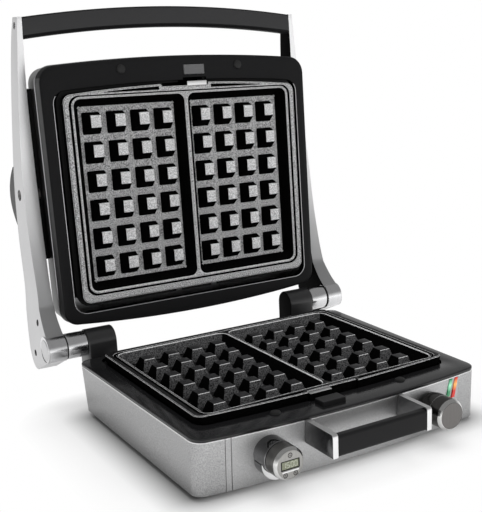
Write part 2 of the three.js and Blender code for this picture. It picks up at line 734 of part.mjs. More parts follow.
function addTimer(parent) {
  const x = -knob.x;
  const z = knob.z;
  const dockBack = panelFace(dock.x + dock.radius, wallTop) - gap;
  const dockFront = dockBack - dock.thickness;
  const spigotRadius = timer.radius - timer.wall - gap;
  const seat = join(
    turned(dock.x, dock.z, [dockBack, dock.radius], [dockFront + ease, dock.radius],
      [dockFront, dock.radius - ease]),
    turned(x, z, [dockBack - lap, spigotRadius], [dockFront - dock.spigot, spigotRadius]),
    turned(x, z, [panelFace(x, z) + reach, thermostat.neck], [dockBack - lap, thermostat.neck]),
  );
  piece('timer_dock', seat, chrome, parent);

  const back = dockFront - gap;
  const front = panelFace(x, z) - knob.stand - knob.length;
  const inner = timer.radius - timer.wall;
  const faceBack = front + timer.front;
  const buttonPlaces = [
    ['timer_button_top', x, z + timerButton.up],
    ['timer_button_left', x - timerButton.apart, z - timerButton.up],
    ['timer_button_right', x + timerButton.apart, z - timerButton.up],
  ];
  const windowShape = (grow) =>
    rectangle(x - timer.windowX / 2 - grow, x + timer.windowX / 2 + grow,
      z - timer.windowZ / 2 - grow, z + timer.windowZ / 2 + grow);
  const holes = buttonPlaces.map(([, bx, bz]) =>
    extrude('y', circle(bx, bz, timerButton.radius + gap), front - reach, faceBack + reach));
  const housing = cut(
    turned(x, z, [back, timer.radius - ease], [back - ease, timer.radius],
      [front + knob.chamfer, timer.radius], [front, timer.radius - knob.chamfer / 2]),
    turned(x, z, [back + reach, inner], [faceBack, inner]),
    extrude('y', windowShape(gap), front - reach, faceBack + reach),
    ...holes,
  );
  piece('timer_case', housing, darkSteel, parent);
  const pane = join(
    extrude('y', windowShape(0), front + gap, faceBack + gap + timer.rim),
    extrude('y', windowShape(timer.rim), faceBack + gap, faceBack + gap + timer.rim),
  );
  piece('timer_window', pane, display, parent);
  for (const [name, bx, bz] of buttonPlaces) {
    const tip = front - timerButton.proud;
    const button = join(
      turned(bx, bz, [tip + timerButton.depth + gap, timerButton.radius], [tip, timerButton.radius]),
      turned(bx, bz, [faceBack + gap + timer.rim, timerButton.radius + timerButton.flange],
        [faceBack + gap, timerButton.radius + timerButton.flange]),
    );
    piece(name, button, satinBlack, parent);
  }
}

// ---- Lid ----

// Where the pivot lies on the shut lid, from the lid's own rim plane.
function pivotOnLid() {
  const along = pivotZ * Math.sin(openAngle) - pivot.y * Math.cos(openAngle);
  const above = pivot.y * Math.sin(openAngle) + pivotZ * Math.cos(openAngle);
  return { y: -along, z: -(above - lidRimZ) };
}

function earOutline(grow) {
  const { y, z } = pivotOnLid();
  const radius = ear.radius + grow;
  return [
    ...arc(y, z, radius, Math.PI, 2 * Math.PI, barrelSteps),
    ...outline([y + radius, z + ear.height + grow], [y - radius, z + ear.height + grow]),
  ];
}

function lidRing(top, bottom, topGrow, bottomGrow, thickness) {
  return cut(
    loft('z', [bottom, plan(lidPlan, bottomGrow)], [top, plan(lidPlan, topGrow)]),
    loft('z', [bottom - lap, plan(lidPlan, bottomGrow - thickness)],
      [top + lap, plan(lidPlan, topGrow - thickness)]),
  );
}

function domeLevels(top, offset) {
  return heights(0, Math.PI / 2, bowSteps).map((angle) => {
    const inset = lid.shellDraft + lid.domeSpread * (1 - Math.cos(angle)) + offset;
    return [top - (lid.domeRise - offset) * Math.sin(angle), plan(lidPlan, -inset)];
  });
}

function addLidCasing(parent) {
  const frame = cut(
    bezelPlate(lidPlan, lid.bandDepth - face.thickness),
    extrude('z', plan(lidPlan, -wall), -face.drop - lid.bandDepth - reach, faceBottom),
  );
  piece('lid_frame', frame, satinBlack, parent);
  const trimTop = -face.drop - lid.bandDepth - gap;
  const trimBottom = trimTop - lid.trimHeight;
  const trimSheet = wall + lid.trimProud;
  piece('lid_trim', lidRing(trimTop, trimBottom, lid.trimProud, lid.trimProud, trimSheet),
    satinAluminium, parent);

  const shellTop = trimBottom - gap;
  const shellBottom = shellTop - lid.shellDepth;
  const earOuter = lidPlan.half - gap;
  const ears = (grow) => [-1, 1].map((side) =>
    extrude('x', earOutline(grow), side * (earOuter - ear.depth - grow),
      side * (earOuter + (grow > 0 ? reach : 0))));
  const boltHoles = [-1, 1].map((side) => {
    const { y, z } = pivotOnLid();
    return extrude('x', circle(y, z, pivot.radius + gap),
      side * (earOuter - ear.depth - reach), side * (earOuter + reach));
  });
  const shell = cut(
    join(lidRing(shellTop, shellBottom, 0, -lid.shellDraft, wall), ...ears(0)),
    ...boltHoles,
  );
  piece('lid_shell', shell, bandGrey, parent);
  const domeTop = shellBottom - gap;
  const [edgeLevel, ...rest] = domeLevels(domeTop, sheet);
  const dome = cut(
    loft('z', ...domeLevels(domeTop, 0)),
    loft('z', [edgeLevel[0] + lap, edgeLevel[1]], ...rest),
    ...ears(gap),
  );
  piece('lid_cover', dome, satinAluminium, parent);
}

function armEdge(knots, topKnots) {
  return edge([...knots, ...topKnots.map(([below, value]) => [armTop - below, value])]);
}

const armFront = armEdge(arm.front, arm.frontTop);
const armBack = armEdge(arm.back, arm.backTop);
const innerFace = armEdge(arm.inner, arm.innerTop);
const outerFace = armEdge(arm.outer, arm.outerTop);
const armDepth = reach + Math.max(...arm.back.map(([, y]) => y));

function armInner(z) {
  return barrelInner + (z < hinge.postRadius ? 0 : innerFace(z));
}

function armOuter(z) {
  return barrelOuter + outerFace(z);
}

// Points along an edge, as outline points.
function along(low, high, steps, at) {
  return heights(low, high, steps).map((z) => new THREE.Vector2(at(z), z));
}

function armOutline() {
  const shape = new THREE.Shape(arc(0, 0, hinge.postRadius, ...arm.barrelArc, barrelSteps));
  const [toe, pull, heel] = arm.heel;
  shape.lineTo(...toe);
  shape.quadraticCurveTo(...pull, ...heel);
  return [
    ...shape.getPoints(bowSteps),
    ...along(arm.back[0][0], armTop, armSteps, armBack),
    ...along(arm.front[0][0], armTop, armSteps, armFront).reverse(),
  ];
}

function armFrontView(side) {
  const points = [
    new THREE.Vector2(barrelOuter, -hinge.postFoot),
    ...along(arm.outer[0][0], armTop + lap, armSteps, armOuter),
    ...along(hinge.postRadius, armTop + lap, armSteps, armInner).reverse(),
    new THREE.Vector2(barrelInner, -hinge.postFoot),
  ];
  return mirrored(points, side);
}

function addArm(name, side, parent) {
  const low = side * (barrelInner - reach);
  const high = side * (barrelOuter + reach);
  const pivotHole = (radius, from) => extrude('x', circle(pivot.y, pivotZ, radius + gap), from, high);
  const linerTop = armTop - liner.belowTop;
  const linerSide = [
    ...along(liner.low, linerTop, armSteps, (z) => armBack(z) - liner.inset),
    ...along(liner.low, linerTop, armSteps, (z) => armFront(z) + liner.inset).reverse(),
  ];
  // The strip that follows the arm's inner face, between two distances from it.
  const strip = (from, to, spare) => {
    const points = [
      ...along(liner.low - spare, linerTop + spare, armSteps, (z) => armInner(z) + to),
      ...along(liner.low - spare, linerTop + spare, armSteps, (z) => armInner(z) + from).reverse(),
    ];
    return extrude('x', linerSide, low, high)
      .intersect(extrude('y', mirrored(points, side), 0, armDepth));
  };
  const inlay = cut(strip(0, liner.depth, 0), pivotHole(pivot.washerRadius, low));
  piece(`arm_liner_${name}`, inlay, satinBlack, parent);

  const headSeat = armOuter(pivotZ) - pivot.headDepth;
  const capSeat = barrelOuter - hinge.capDepth - gap;
  const body = extrude('y', armFrontView(side), -armDepth, armDepth)
    .intersect(extrude('x', armOutline(), low, high));
  const capHole = extrude('x', circle(0, 0, hinge.capRadius + gap), side * capSeat, high);
  const armBody = cut(body, strip(-reach, liner.depth + gap, gap), pivotHole(pivot.radius, low),
    pivotHole(pivot.headRadius, side * headSeat), capHole, pinBore(low, high));
  piece(`arm_${name}`, armBody, satinAluminium, parent);

  const cap = extrude('x', circle(0, 0, hinge.capRadius), side * (capSeat + gap), side * barrelOuter);
  piece(`hinge_cap_${name}`, cap, satinAluminium, parent);

  const earFace = lidPlan.half - gap;
  const bolt = (radius, from, to) =>
    extrude('x', circle(pivot.y, pivotZ, radius), side * from, side * to);
  const pivotBolt = join(
    bolt(pivot.radius, earFace - ear.depth + lap, headSeat + gap + lap),
    bolt(pivot.washerRadius, earFace + gap, armInner(pivotZ) - gap),
    bolt(pivot.headRadius, headSeat + gap, headSeat + gap + pivot.headDepth / 2),
  );
  piece(`pivot_bolt_${name}`, pivotBolt, heaterSteel, parent);

  const middle = (pad.low + pad.high) / 2;
  const half = (pad.high - pad.low) / 2;
  const bulge = (z) => pad.edge + pad.bulge * (1 - ((z - middle) / half) ** 2);
  const padSide = [
    ...along(pad.low, pad.high, armSteps, (z) => armBack(z) + gap + bulge(z)),
    ...along(pad.low, pad.high, armSteps, (z) => armBack(z) + gap).reverse(),
  ];
  const padInner = barrelInner + pad.inset;
  const padBody = extrude('x', padSide, side * padInner, side * (padInner + pad.width));
  piece(`rest_pad_${name}`, padBody, bandGrey, parent);
}

function addHandleBar(parent) {
  const low = armTop - bar.belowArmTop;
  const arch = (bottom) => {
    const half = armInner(bottom) - gap;
    return heights(-half, half, barSteps).map((x) =>
      new THREE.Vector2(x, bottom + bar.arch * (1 - (x / lidPlan.half) ** 2)));
  };
  const shape = [...arch(low), ...arch(low + bar.height).reverse()];
  piece('handle_bar', extrude('y', shape, bar.front, bar.rear), satinBlack, parent);
}

// ---- The machine ----

const machine = new THREE.Group();
const baseHalf = new THREE.Group();
baseHalf.position.z = baseRimZ;
const lidGroup = new THREE.Group();
lidGroup.rotation.x = -openAngle;
const lidHalf = new THREE.Group(); // the same way up as the base half, then turned over
lidHalf.rotation.y = Math.PI;
lidHalf.position.z = lidRimZ;
lidGroup.add(lidHalf);
machine.add(baseHalf, lidGroup);

addHalf('lower', release.baseDepth, release.baseProud, basePlan.front + bumper.baseInset, baseHalf);
piece('base_bezel', bezelPlate(basePlan, 0), glossBlack, baseHalf);
addHalf('upper', release.lidDepth, release.lidProud, lidPlan.front + bumper.lidInset, lidHalf);
addLidCasing(lidHalf);
addCasing(machine);
addHinges(machine);
addFrontHandle(machine);
addThermostat(machine);
addTimer(machine);
for (const [name, side] of sides) addArm(name, side, machine);
addHandleBar(machine);

// The feet rest on z = 0, and x = y = 0 is the middle of the open machine.
machine.updateMatrixWorld(true);
const bounds = new THREE.Box3().setFromObject(machine);
const middle = bounds.getCenter(new THREE.Vector3());
machine.position.set(-middle.x, -middle.y, -bounds.min.z);

export default machine;
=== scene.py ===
import json
import math

import bpy
import bmesh
from mathutils import Matrix, Vector


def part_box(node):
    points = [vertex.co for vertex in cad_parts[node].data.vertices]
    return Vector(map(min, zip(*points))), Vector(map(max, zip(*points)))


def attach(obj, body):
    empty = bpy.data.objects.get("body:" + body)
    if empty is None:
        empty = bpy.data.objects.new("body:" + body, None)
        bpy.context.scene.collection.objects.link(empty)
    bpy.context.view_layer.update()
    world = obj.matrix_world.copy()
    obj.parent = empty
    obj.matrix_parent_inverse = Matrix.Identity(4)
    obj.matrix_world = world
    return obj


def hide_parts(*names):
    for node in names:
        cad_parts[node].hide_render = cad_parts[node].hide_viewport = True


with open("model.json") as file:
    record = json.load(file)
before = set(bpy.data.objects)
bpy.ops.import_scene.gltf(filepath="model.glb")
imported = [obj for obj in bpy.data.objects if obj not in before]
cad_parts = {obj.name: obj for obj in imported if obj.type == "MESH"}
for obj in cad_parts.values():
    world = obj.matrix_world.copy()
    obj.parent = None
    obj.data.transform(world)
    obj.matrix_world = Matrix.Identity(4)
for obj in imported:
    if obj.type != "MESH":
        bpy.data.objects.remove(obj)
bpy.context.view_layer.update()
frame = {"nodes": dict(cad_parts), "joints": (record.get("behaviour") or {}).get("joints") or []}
print("frame loaded")

# Sizes below are millimetres about the hinge axis: x right, y back, z up.
mm = 0.001
alongX, alongY, alongZ = range(3)
sides = ((-1, "left"), (1, "right"))
rimGap = 0.6  # how far apart the plates' rims lie when shut
lidHinge = next(joint for joint in frame["joints"] if joint["name"] == "lid_hinge")
hinge = Vector(lidHinge["pos_m"])
openTurn = Matrix.Rotation(-math.radians(lidHinge["range_deg"][1]), 3, "X")


def nodeBox(node):
    return [(Vector(corner) - hinge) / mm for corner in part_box(node)]


plateLow, plateHigh = nodeBox("lower_plate")
bezelLow, bezelHigh = nodeBox("base_bezel")
housingLow, housingHigh = nodeBox("base_housing")
frameHigh = nodeBox("lid_frame")[1]
baseRimZ = plateHigh.z
lidRimZ = baseRimZ + rimGap


# A point is given about the hinge, from the plane of the lower plate's rim, or from the upper plate's.
def onBase(p):
    return hinge + Vector(p) * mm


def onBaseRim(p):
    return hinge + Vector((p[0], p[1], p[2] + baseRimZ)) * mm


def onLidRim(p):
    return hinge + (openTurn @ Vector((-p[0], p[1], lidRimZ - p[2]))) * mm


def localPlace(p):
    return Vector(p) * mm


# In node trees a value is set on its socket, and another node's output is linked to it.
def give(tree, node, values):
    for key, value in values.items():
        socket = node.inputs[key]
        if isinstance(value, bpy.types.NodeSocket):
            tree.links.new(value, socket)
        else:
            socket.default_value = (*value, 1) if socket.type == "RGBA" else value


def addNode(tree, kind, values=None, **settings):
    node = tree.nodes.new(kind)
    for key, setting in settings.items():
        setattr(node, key, setting)
    give(tree, node, values or {})
    return node


def maths(tree, operation, *values, kind="ShaderNodeMath", result=0):
    return addNode(tree, kind, dict(enumerate(values)), operation=operation).outputs[result]


def coordinate(tree, kind="Object"):
    return addNode(tree, "ShaderNodeTexCoord").outputs[kind]


def axisOf(tree, vector, axis):
    return addNode(tree, "ShaderNodeSeparateXYZ", {"Vector": vector}).outputs[axis]


def objectPattern(tree, stretch, scale, detail=4.0):
    mapping = addNode(tree, "ShaderNodeMapping", {"Vector": coordinate(tree), "Scale": stretch})
    values = {"Vector": mapping.outputs["Vector"], "Scale": scale, "Detail": detail}
    return addNode(tree, "ShaderNodeTexNoise", values).outputs["Fac"]


def spread(tree, source, low, high, fromLow=0.3, fromHigh=0.7):
    values = {"Value": source, "From Min": fromLow, "From Max": fromHigh, "To Min": low, "To Max": high}
    return addNode(tree, "ShaderNodeMapRange", values).outputs["Result"]


def blendColor(tree, factor, first, second):
    values = {"Factor": factor, "A": first, "B": second}
    return addNode(tree, "ShaderNodeMix", values, data_type="RGBA").outputs["Result"]


def mixShaders(tree, factor, first, second):
    return addNode(tree, "ShaderNodeMixShader", {"Fac": factor, 1: first, 2: second}).outputs[0]


def bumpFrom(tree, source, strength, distance):
    values = {"Height": source, "Strength": strength, "Distance": distance}
    return addNode(tree, "ShaderNodeBump", values).outputs["Normal"]


def nodeMaterial(name):
    material = bpy.data.materials.new(name)
    material.use_nodes = True
    return material, material.node_tree, material.node_tree.nodes["Principled BSDF"]


def grainedFinish(name, color, rough, change, shade, stretch, grain, metallic=0.0, specular=0.5, cloud=18.0,
                  bump=0.0, bumpDepth=0.00002, low=None):
    material, tree, shader = nodeMaterial(name)
    pattern = objectPattern(tree, stretch, grain)
    darker = [c * (1 - shade) for c in color]
    lighter = [min(1.0, c * (1 + shade)) for c in color]
    shown = blendColor(tree, spread(tree, pattern, 0, 1), darker, lighter)
    if low:  # painted shade: a darker color toward the floor
        height = spread(tree, axisOf(tree, coordinate(tree), "Z"), 0, 1, *low["between"])
        shown = blendColor(tree, height, low["color"], shown)
    clouds = objectPattern(tree, even[1], cloud, 2.0)
    mixed = maths(tree, "MULTIPLY_ADD", pattern, 0.5, maths(tree, "MULTIPLY", clouds, 0.5))
    give(tree, shader, {"Base Color": shown, "Roughness": spread(tree, mixed, rough - change, rough + change),
                        "Metallic": metallic, "Specular IOR Level": specular})
    if bump:
        give(tree, shader, {"Normal": bumpFrom(tree, pattern, bump, bumpDepth)})
    return material


# Each look: color, roughness and its change, the grain's shading, stretch and scale, then what else differs.
even = {size: (size, size, size) for size in (1, 20, 40, 60, 80, 100, 200, 300, 400, 500)}
metals = {
    "casingSteel": ((0.36, 0.36, 0.362), 0.32, 0.05, 0.26, even[1], 1100.0,
                    dict(cloud=9.0, bump=0.10, bumpDepth=0.00003)),
    "panelSteel": ((0.44, 0.44, 0.442), 0.44, 0.04, 0.16, even[1], 1200.0, dict(cloud=9.0, bump=0.10)),
    "armSatin": ((0.60, 0.60, 0.605), 0.38, 0.05, 0.04, even[60], 30.0, dict(bump=0.06)),
    # The next look is a lit copy of the arm metal: brighter as a painted highlight, darker toward the floor
    # as painted shade.
    "armFront": ((0.86, 0.86, 0.865), 0.42, 0.05, 0.04, even[60], 30.0,
                 dict(metallic=0.8, bump=0.06, low={"color": (0.36, 0.36, 0.363), "between": (0.10, 0.24)})),
    "polishedChrome": ((0.72, 0.72, 0.73), 0.20, 0.03, 0.03, (300, 20, 20), 2.0, {}),
    "bracketChrome": ((0.20, 0.20, 0.203), 0.14, 0.05, 0.06, even[20], 8.0, {}),
    "edgeSatin": ((0.80, 0.80, 0.80), 0.42, 0.05, 0.03, even[80], 20.0, {}),
    "knobSteel": ((0.105, 0.102, 0.099), 0.20, 0.06, 0.14, (20, 900, 20), 1.5, dict(bump=0.06)),
    "knobFace": ((0.17, 0.163, 0.158), 0.42, 0.06, 0.08, (700, 20, 20), 2.0, dict(bump=0.05)),
    "timerSteel": ((0.20, 0.197, 0.19), 0.34, 0.05, 0.12, (20, 900, 20), 1.5, dict(bump=0.06)),
    "timerFace": ((0.34, 0.335, 0.322), 0.38, 0.06, 0.08, (500, 20, 20), 2.0, dict(bump=0.05)),
    "rimBright": ((0.62, 0.62, 0.61), 0.18, 0.04, 0.04, even[40], 10.0, {}),
    "trimSilver": ((0.50, 0.50, 0.51), 0.34, 0.05, 0.05, even[60], 6.0, {}),
    "coverSteel": ((0.50, 0.50, 0.51), 0.32, 0.06, 0.08, (500, 6, 6), 3.0, dict(bump=0.06)),
    "heaterSteel": ((0.13, 0.125, 0.12), 0.45, 0.10, 0.25, even[60], 14.0, {}),
    # The heat trays' metal is painted near black: painted shade in the plates' opening.
    "darkPan": ((0.010, 0.010, 0.010), 0.55, 0.08, 0.2, even[40], 10.0, dict(metallic=0.2, specular=0.1)),
    "screwBlack": ((0.02, 0.02, 0.02), 0.30, 0.08, 0.2, even[200], 5.0, dict(metallic=0.8)),
}
plastics = {
    # The first black below is painted shade: near black, almost without gloss, put where shade falls.
    "deepBlack": ((0.0015, 0.0015, 0.0015), 0.6, 0.05, 0.2, even[60], 10.0, dict(specular=0.02)),
    "bezelGloss": ((0.008, 0.008, 0.0085), 0.17, 0.004, 0.04, even[40], 12.0, {}),
    "frameSatin": ((0.010, 0.010, 0.0105), 0.45, 0.05, 0.15, even[400], 4.0,
                   dict(bump=0.10, bumpDepth=0.00004, specular=0.07)),
    "barSatin": ((0.030, 0.030, 0.031), 0.42, 0.05, 0.12, even[500], 4.0,
                 dict(bump=0.12, bumpDepth=0.00004, specular=0.2)),
    "gripSatin": ((0.010, 0.010, 0.0105), 0.38, 0.05, 0.12, even[500], 4.0,
                  dict(bump=0.12, bumpDepth=0.00004, specular=0.14)),
    "hingeSatin": ((0.014, 0.014, 0.0145), 0.32, 0.05, 0.12, even[300], 5.0,
                   dict(bump=0.06, bumpDepth=0.00003, specular=0.6)),
    "bandGrey": ((0.034, 0.034, 0.035), 0.40, 0.05, 0.08, even[300], 5.0,
                 dict(bump=0.06, bumpDepth=0.00003, specular=0.2)),
    "rubberBlack": ((0.012, 0.012, 0.012), 0.60, 0.08, 0.2, even[500], 3.0,
                    dict(bump=0.2, bumpDepth=0.00005, specular=0.3)),
    "buttonGrey": ((0.125, 0.125, 0.127), 0.40, 0.05, 0.1, even[400], 4.0,
                   dict(bump=0.08, bumpDepth=0.00003, specular=0.2)),
    "displayGreen": ((0.25, 0.265, 0.19), 0.30, 0.05, 0.06, even[100], 6.0, dict(specular=0.3)),
    "displayDigit": ((0.52, 0.54, 0.45), 0.4, 0.05, 0.05, even[100], 6.0, {}),
}

# The plates' non-stick coat, part by part: ground, flecks, roughness and, on the walls, no gloss. The parts
# are painted light: the upper plate's coat is a lit copy, far lighter than the lower's, the lower pegs'
# fronts are lit, the edges carry painted highlights and the walls are near black as painted shade.
coatSizes = {
    "grain": 1050.0, "grainFrom": 0.36, "grainTo": 0.66, "bump": 0.35, "bumpDepth": 0.00008, "cloud": 60.0,
    "smoother": 0.05, "rougher": 0.07,
}
coatings = {
    "coatFieldUpper": ((0.17, 0.17, 0.172), (0.64, 0.64, 0.645), 0.50),
    "coatPegUpper": ((0.36, 0.36, 0.365), (0.80, 0.80, 0.805), 0.50),
    "coatEdgeHighlightUpper": ((0.34, 0.34, 0.342), (0.62, 0.62, 0.625), 0.36),
    "coatFieldLower": ((0.002, 0.002, 0.002), (0.020, 0.020, 0.0205), 0.42),
    "coatPegLower": ((0.008, 0.008, 0.0085), (0.034, 0.034, 0.035), 0.42),
    "coatLitFrontLower": ((0.012, 0.012, 0.0125), (0.115, 0.115, 0.117), 0.42),
    "coatEdgeHighlightLower": ((0.26, 0.26, 0.262), (0.70, 0.70, 0.705), 0.36),
    "coatWallShade": ((0.0008, 0.0008, 0.0008), (0.004, 0.004, 0.004), 0.45, 0.0),
}


def nonStickFinish(name, ground, fleck, rough, specular=0.05):
    s = coatSizes
    material, tree, shader = nodeMaterial(name)
    flecks = objectPattern(tree, even[1], s["grain"], 1.0)
    clouds = objectPattern(tree, even[1], s["cloud"], 3.0)
    share = spread(tree, flecks, 0, 1, s["grainFrom"], s["grainTo"])
    give(tree, shader, {"Base Color": blendColor(tree, share, ground, fleck),
                        "Roughness": spread(tree, clouds, rough - s["smoother"], rough + s["rougher"]),
                        "Specular IOR Level": specular,
                        "Normal": bumpFrom(tree, flecks, s["bump"], s["bumpDepth"])})
    return material


finishes = {name: nonStickFinish(name, *coat) for name, coat in coatings.items()}
for name, (*look, others) in metals.items():
    finishes[name] = grainedFinish(name, *look, **{"metallic": 1.0, **others})
for name, (*look, others) in plastics.items():
    finishes[name] = grainedFinish(name, *look, **others)
print("materials made")


def arcPoints(x, y, radius, start, end, count):
    turns = [math.radians(start + (end - start) * i / count) for i in range(count + 1)]
    return [(x + radius * math.cos(turn), y + radius * math.sin(turn)) for turn in turns]


def steps(low, high, count):
    return [low + (high - low) * i / count for i in range(count + 1)]


def rectangle(x0, x1, y0, y1):
    return [(x0, y0), (x1, y0), (x1, y1), (x0, y1)]


def roundRect(x0, x1, y0, y1, radius, count=4):
    corners = ((x0 + radius, y0 + radius, 180), (x1 - radius, y0 + radius, 270),
               (x1 - radius, y1 - radius, 0), (x0 + radius, y1 - radius, 90))
    return [point for x, y, start in corners for point in arcPoints(x, y, radius, start, start + 90, count)]


def circlePoints(x, y, radius, count):
    return arcPoints(x, y, radius, 0, 360, count)[:-1]


cornerSteps = 9
bowSteps = 20


def frontEdge(plan, grow, x):
    straight = plan["half"] - plan["frontRadius"]
    return plan["front"] - grow + plan["frontBow"] * (x / straight) ** 2


def rearEdge(plan, grow, x):
    straight = plan["half"] - plan["frontRadius"]
    return plan["rear"] + grow - plan.get("rearBow", 0.0) * (x / straight) ** 2


# A plan's outline, wider all round by grow. A notch in its front edge is half its width and its y.
def planOutline(plan, grow=0.0, notch=None):
    half = plan["half"] + grow
    frontRadius, rearRadius = (max(plan[key] + grow, 0.3) for key in ("frontRadius", "rearRadius"))
    frontX, rearX = half - frontRadius, half - rearRadius
    across = steps(-frontX, frontX, bowSteps)[1:-1]
    if notch:
        edge, depth = notch
        across = [x for x in across if abs(abs(x) - edge) > 2]
        across = sorted(across + [-edge - 0.5, -edge + 0.5, edge - 0.5, edge + 0.5])
    front = [(x, depth + max(-grow, 0) if notch and abs(x) < edge else frontEdge(plan, grow, x))
             for x in across]
    rear = [(x, rearEdge(plan, grow, x)) for x in steps(rearX, -rearX, bowSteps)[1:-1]]
    frontY = frontEdge(plan, grow, frontX) + frontRadius
    rearY = rearEdge(plan, grow, rearX) - rearRadius
    return (arcPoints(-frontX, frontY, frontRadius, 180, 270, cornerSteps) + front
            + arcPoints(frontX, frontY, frontRadius, 270, 360, cornerSteps)
            + arcPoints(rearX, rearY, rearRadius, 0, 90, cornerSteps) + rear
            + arcPoints(-rearX, rearY, rearRadius, 90, 180, cornerSteps))


# A smooth curve through knots of (height, value), held level past its ends.
def smoothEdge(knots):
    def slope(i):
        before, after = knots[max(i - 1, 0)], knots[min(i + 1, len(knots) - 1)]
        return (after[1] - before[1]) / (after[0] - before[0])

    def value(height):
        z = min(max(height, knots[0][0]), knots[-1][0])
        i = max(k for k in range(len(knots) - 1) if knots[k][0] <= z)
        (z0, v0), (z1, v1) = knots[i], knots[i + 1]
        span = z1 - z0
        t = (z - z0) / span
        start = (1 + 2 * t) * (1 - t) ** 2 * v0 + t * (1 - t) ** 2 * span * slope(i)
        return start + t * t * (3 - 2 * t) * v1 + t * t * (t - 1) * span * slope(i + 1)

    return value


# Rows of points: outlines at their levels, a bar of one outline, and a turned piece of (level, radius).
def levels(outlines, axis=alongZ):
    return [[(*point[:axis], level, *point[axis:]) for point in points] for points, level in outlines]


def block(axis, points, low, high):
    return levels([(points, low), (points, high)], axis)


def turned(axis, centre, profile, count=96):
    outlines = [(circlePoints(*centre, max(radius, 0.02), count), level) for level, radius in profile]
    return levels(outlines, axis)


def hingeRing(side, profile, count=64):
    return turned(alongX, (0, 0), [(side * x, radius) for x, radius in profile], count)


def addRows(mesh, rows, loopAlong=True, loopAcross=False):
    grid = [[mesh.verts.new(point) for point in row] for row in rows]
    count = len(rows[0])
    for first, second in zip(grid, grid[1:] + grid[:1] if loopAcross else grid[1:]):
        for j in range(count if loopAlong else count - 1):
            k = (j + 1) % count
            mesh.faces.new((first[j], first[k], second[k], second[j]))
    return grid


def addSolid(mesh, rows, loopAlong=True, loopAcross=False):
    grid = addRows(mesh, rows, loopAlong, loopAcross)
    if not loopAcross:
        mesh.faces.new(grid[0][::-1])
        mesh.faces.new(grid[-1])
    elif not loopAlong:
        mesh.faces.new([row[0] for row in grid])
        mesh.faces.new([row[-1] for row in grid[::-1]])
    return mesh


def addObject(name, data):
    piece = bpy.data.objects.new(name, data)
    bpy.context.collection.objects.link(piece)
    return piece


def smoothShade(data, sharp):
    data.shade_smooth()
    data.set_sharp_from_angle(angle=math.radians(sharp))


def finishMesh(name, mesh, place, sharp=35.0):
    for vert in mesh.verts:
        vert.co = place(vert.co)
    bmesh.ops.recalc_face_normals(mesh, faces=mesh.faces)
    data = bpy.data.meshes.new(name)
    mesh.to_mesh(data)
    mesh.free()
    smoothShade(data, sharp)
    return addObject(name, data)


def solid(name, rows, place=onBase, sharp=35.0, **loops):
    return finishMesh(name, addSolid(bmesh.new(), rows, **loops), place, sharp)


# Each profile is a plan and its (grow, z) for every ring that the piece has of it.
def planRows(*profiles, notch=None):
    return levels([(planOutline(plan, grow, notch), z) for plan, profile in profiles for grow, z in profile])


def planPiece(name, place, *profiles, loopAcross=True):
    return solid(name, planRows(*profiles), place, loopAcross=loopAcross)


def addBevel(piece, width, count=3, angle=30.0):
    bevel = piece.modifiers.new("edges", "BEVEL")
    bevel.width = width * mm
    bevel.segments = count
    bevel.limit_method = "ANGLE"
    bevel.angle_limit = math.radians(angle)


def bake(piece, sharp=35.0):
    graph = bpy.context.evaluated_depsgraph_get()
    data = bpy.data.meshes.new_from_object(piece.evaluated_get(graph))
    piece.modifiers.clear()
    piece.data = data
    smoothShade(data, sharp)
    return piece


def combine(piece, *others, operation="DIFFERENCE", sharp=35.0):
    for other in others:
        step = piece.modifiers.new("step", "BOOLEAN")
        step.operation = operation
        step.solver = "EXACT"
        step.object = other
    bake(piece, sharp)
    for other in others:
        bpy.data.objects.remove(other)
    return piece


def settle(piece, body, finish, slot, *nodes):
    piece.data.materials.clear()
    piece.data.materials.append(finishes[finish])
    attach(piece, body)
    if nodes:
        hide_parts(*nodes)
    return piece


def paintFaces(piece, finish, chosen):
    piece.data.materials.append(finishes[finish])
    for face in piece.data.polygons:
        if chosen(face):
            face.material_index = len(piece.data.materials) - 1


def heightOf(face):
    return (face.center.z - hinge.z) / mm


# How a face stands to a rim's plane: its tilt, and its centre's place backward and outward.
def toRim(place, face):
    origin = place((0, 0, 0))
    outward, backward = ((place(step) - origin).normalized() for step in ((0, 0, 1), (0, 1, 0)))
    centre = (face.center - origin) / mm
    return abs(face.normal.dot(outward)), centre.dot(backward), centre.dot(outward)


platePlan = {
    "half": plateHigh.x, "rear": plateHigh.y, "front": plateLow.y, "frontBow": 5.5, "frontRadius": 8.0,
    "rearRadius": 8.0,
}
openingPlan = {
    "half": platePlan["half"] + 3.8, "rear": platePlan["rear"] + 7.5, "front": platePlan["front"] - 3.0,
    "frontBow": 4.5, "frontRadius": 12.0, "rearRadius": 12.0,
}
basePlan = {
    "half": bezelHigh.x, "rear": bezelHigh.y, "front": bezelLow.y, "frontBow": 8.6, "frontRadius": 13.0,
    "rearRadius": 10.0,
}
rimPlan = {
    **platePlan, "half": platePlan["half"] + 1.6, "rear": platePlan["rear"] + 0.9,
    "front": platePlan["front"] - 0.6,
}
lidOpening = {**openingPlan, "half": openingPlan["half"] + 4.2, "rear": openingPlan["rear"] + 3.6}
lidPlan = {
    "half": frameHigh.x, "rear": openingPlan["rear"] + 20.5, "front": openingPlan["front"] - 24.0,
    "frontBow": 5.0, "rearBow": 6.0, "frontRadius": 17.0, "rearRadius": 14.0,
}


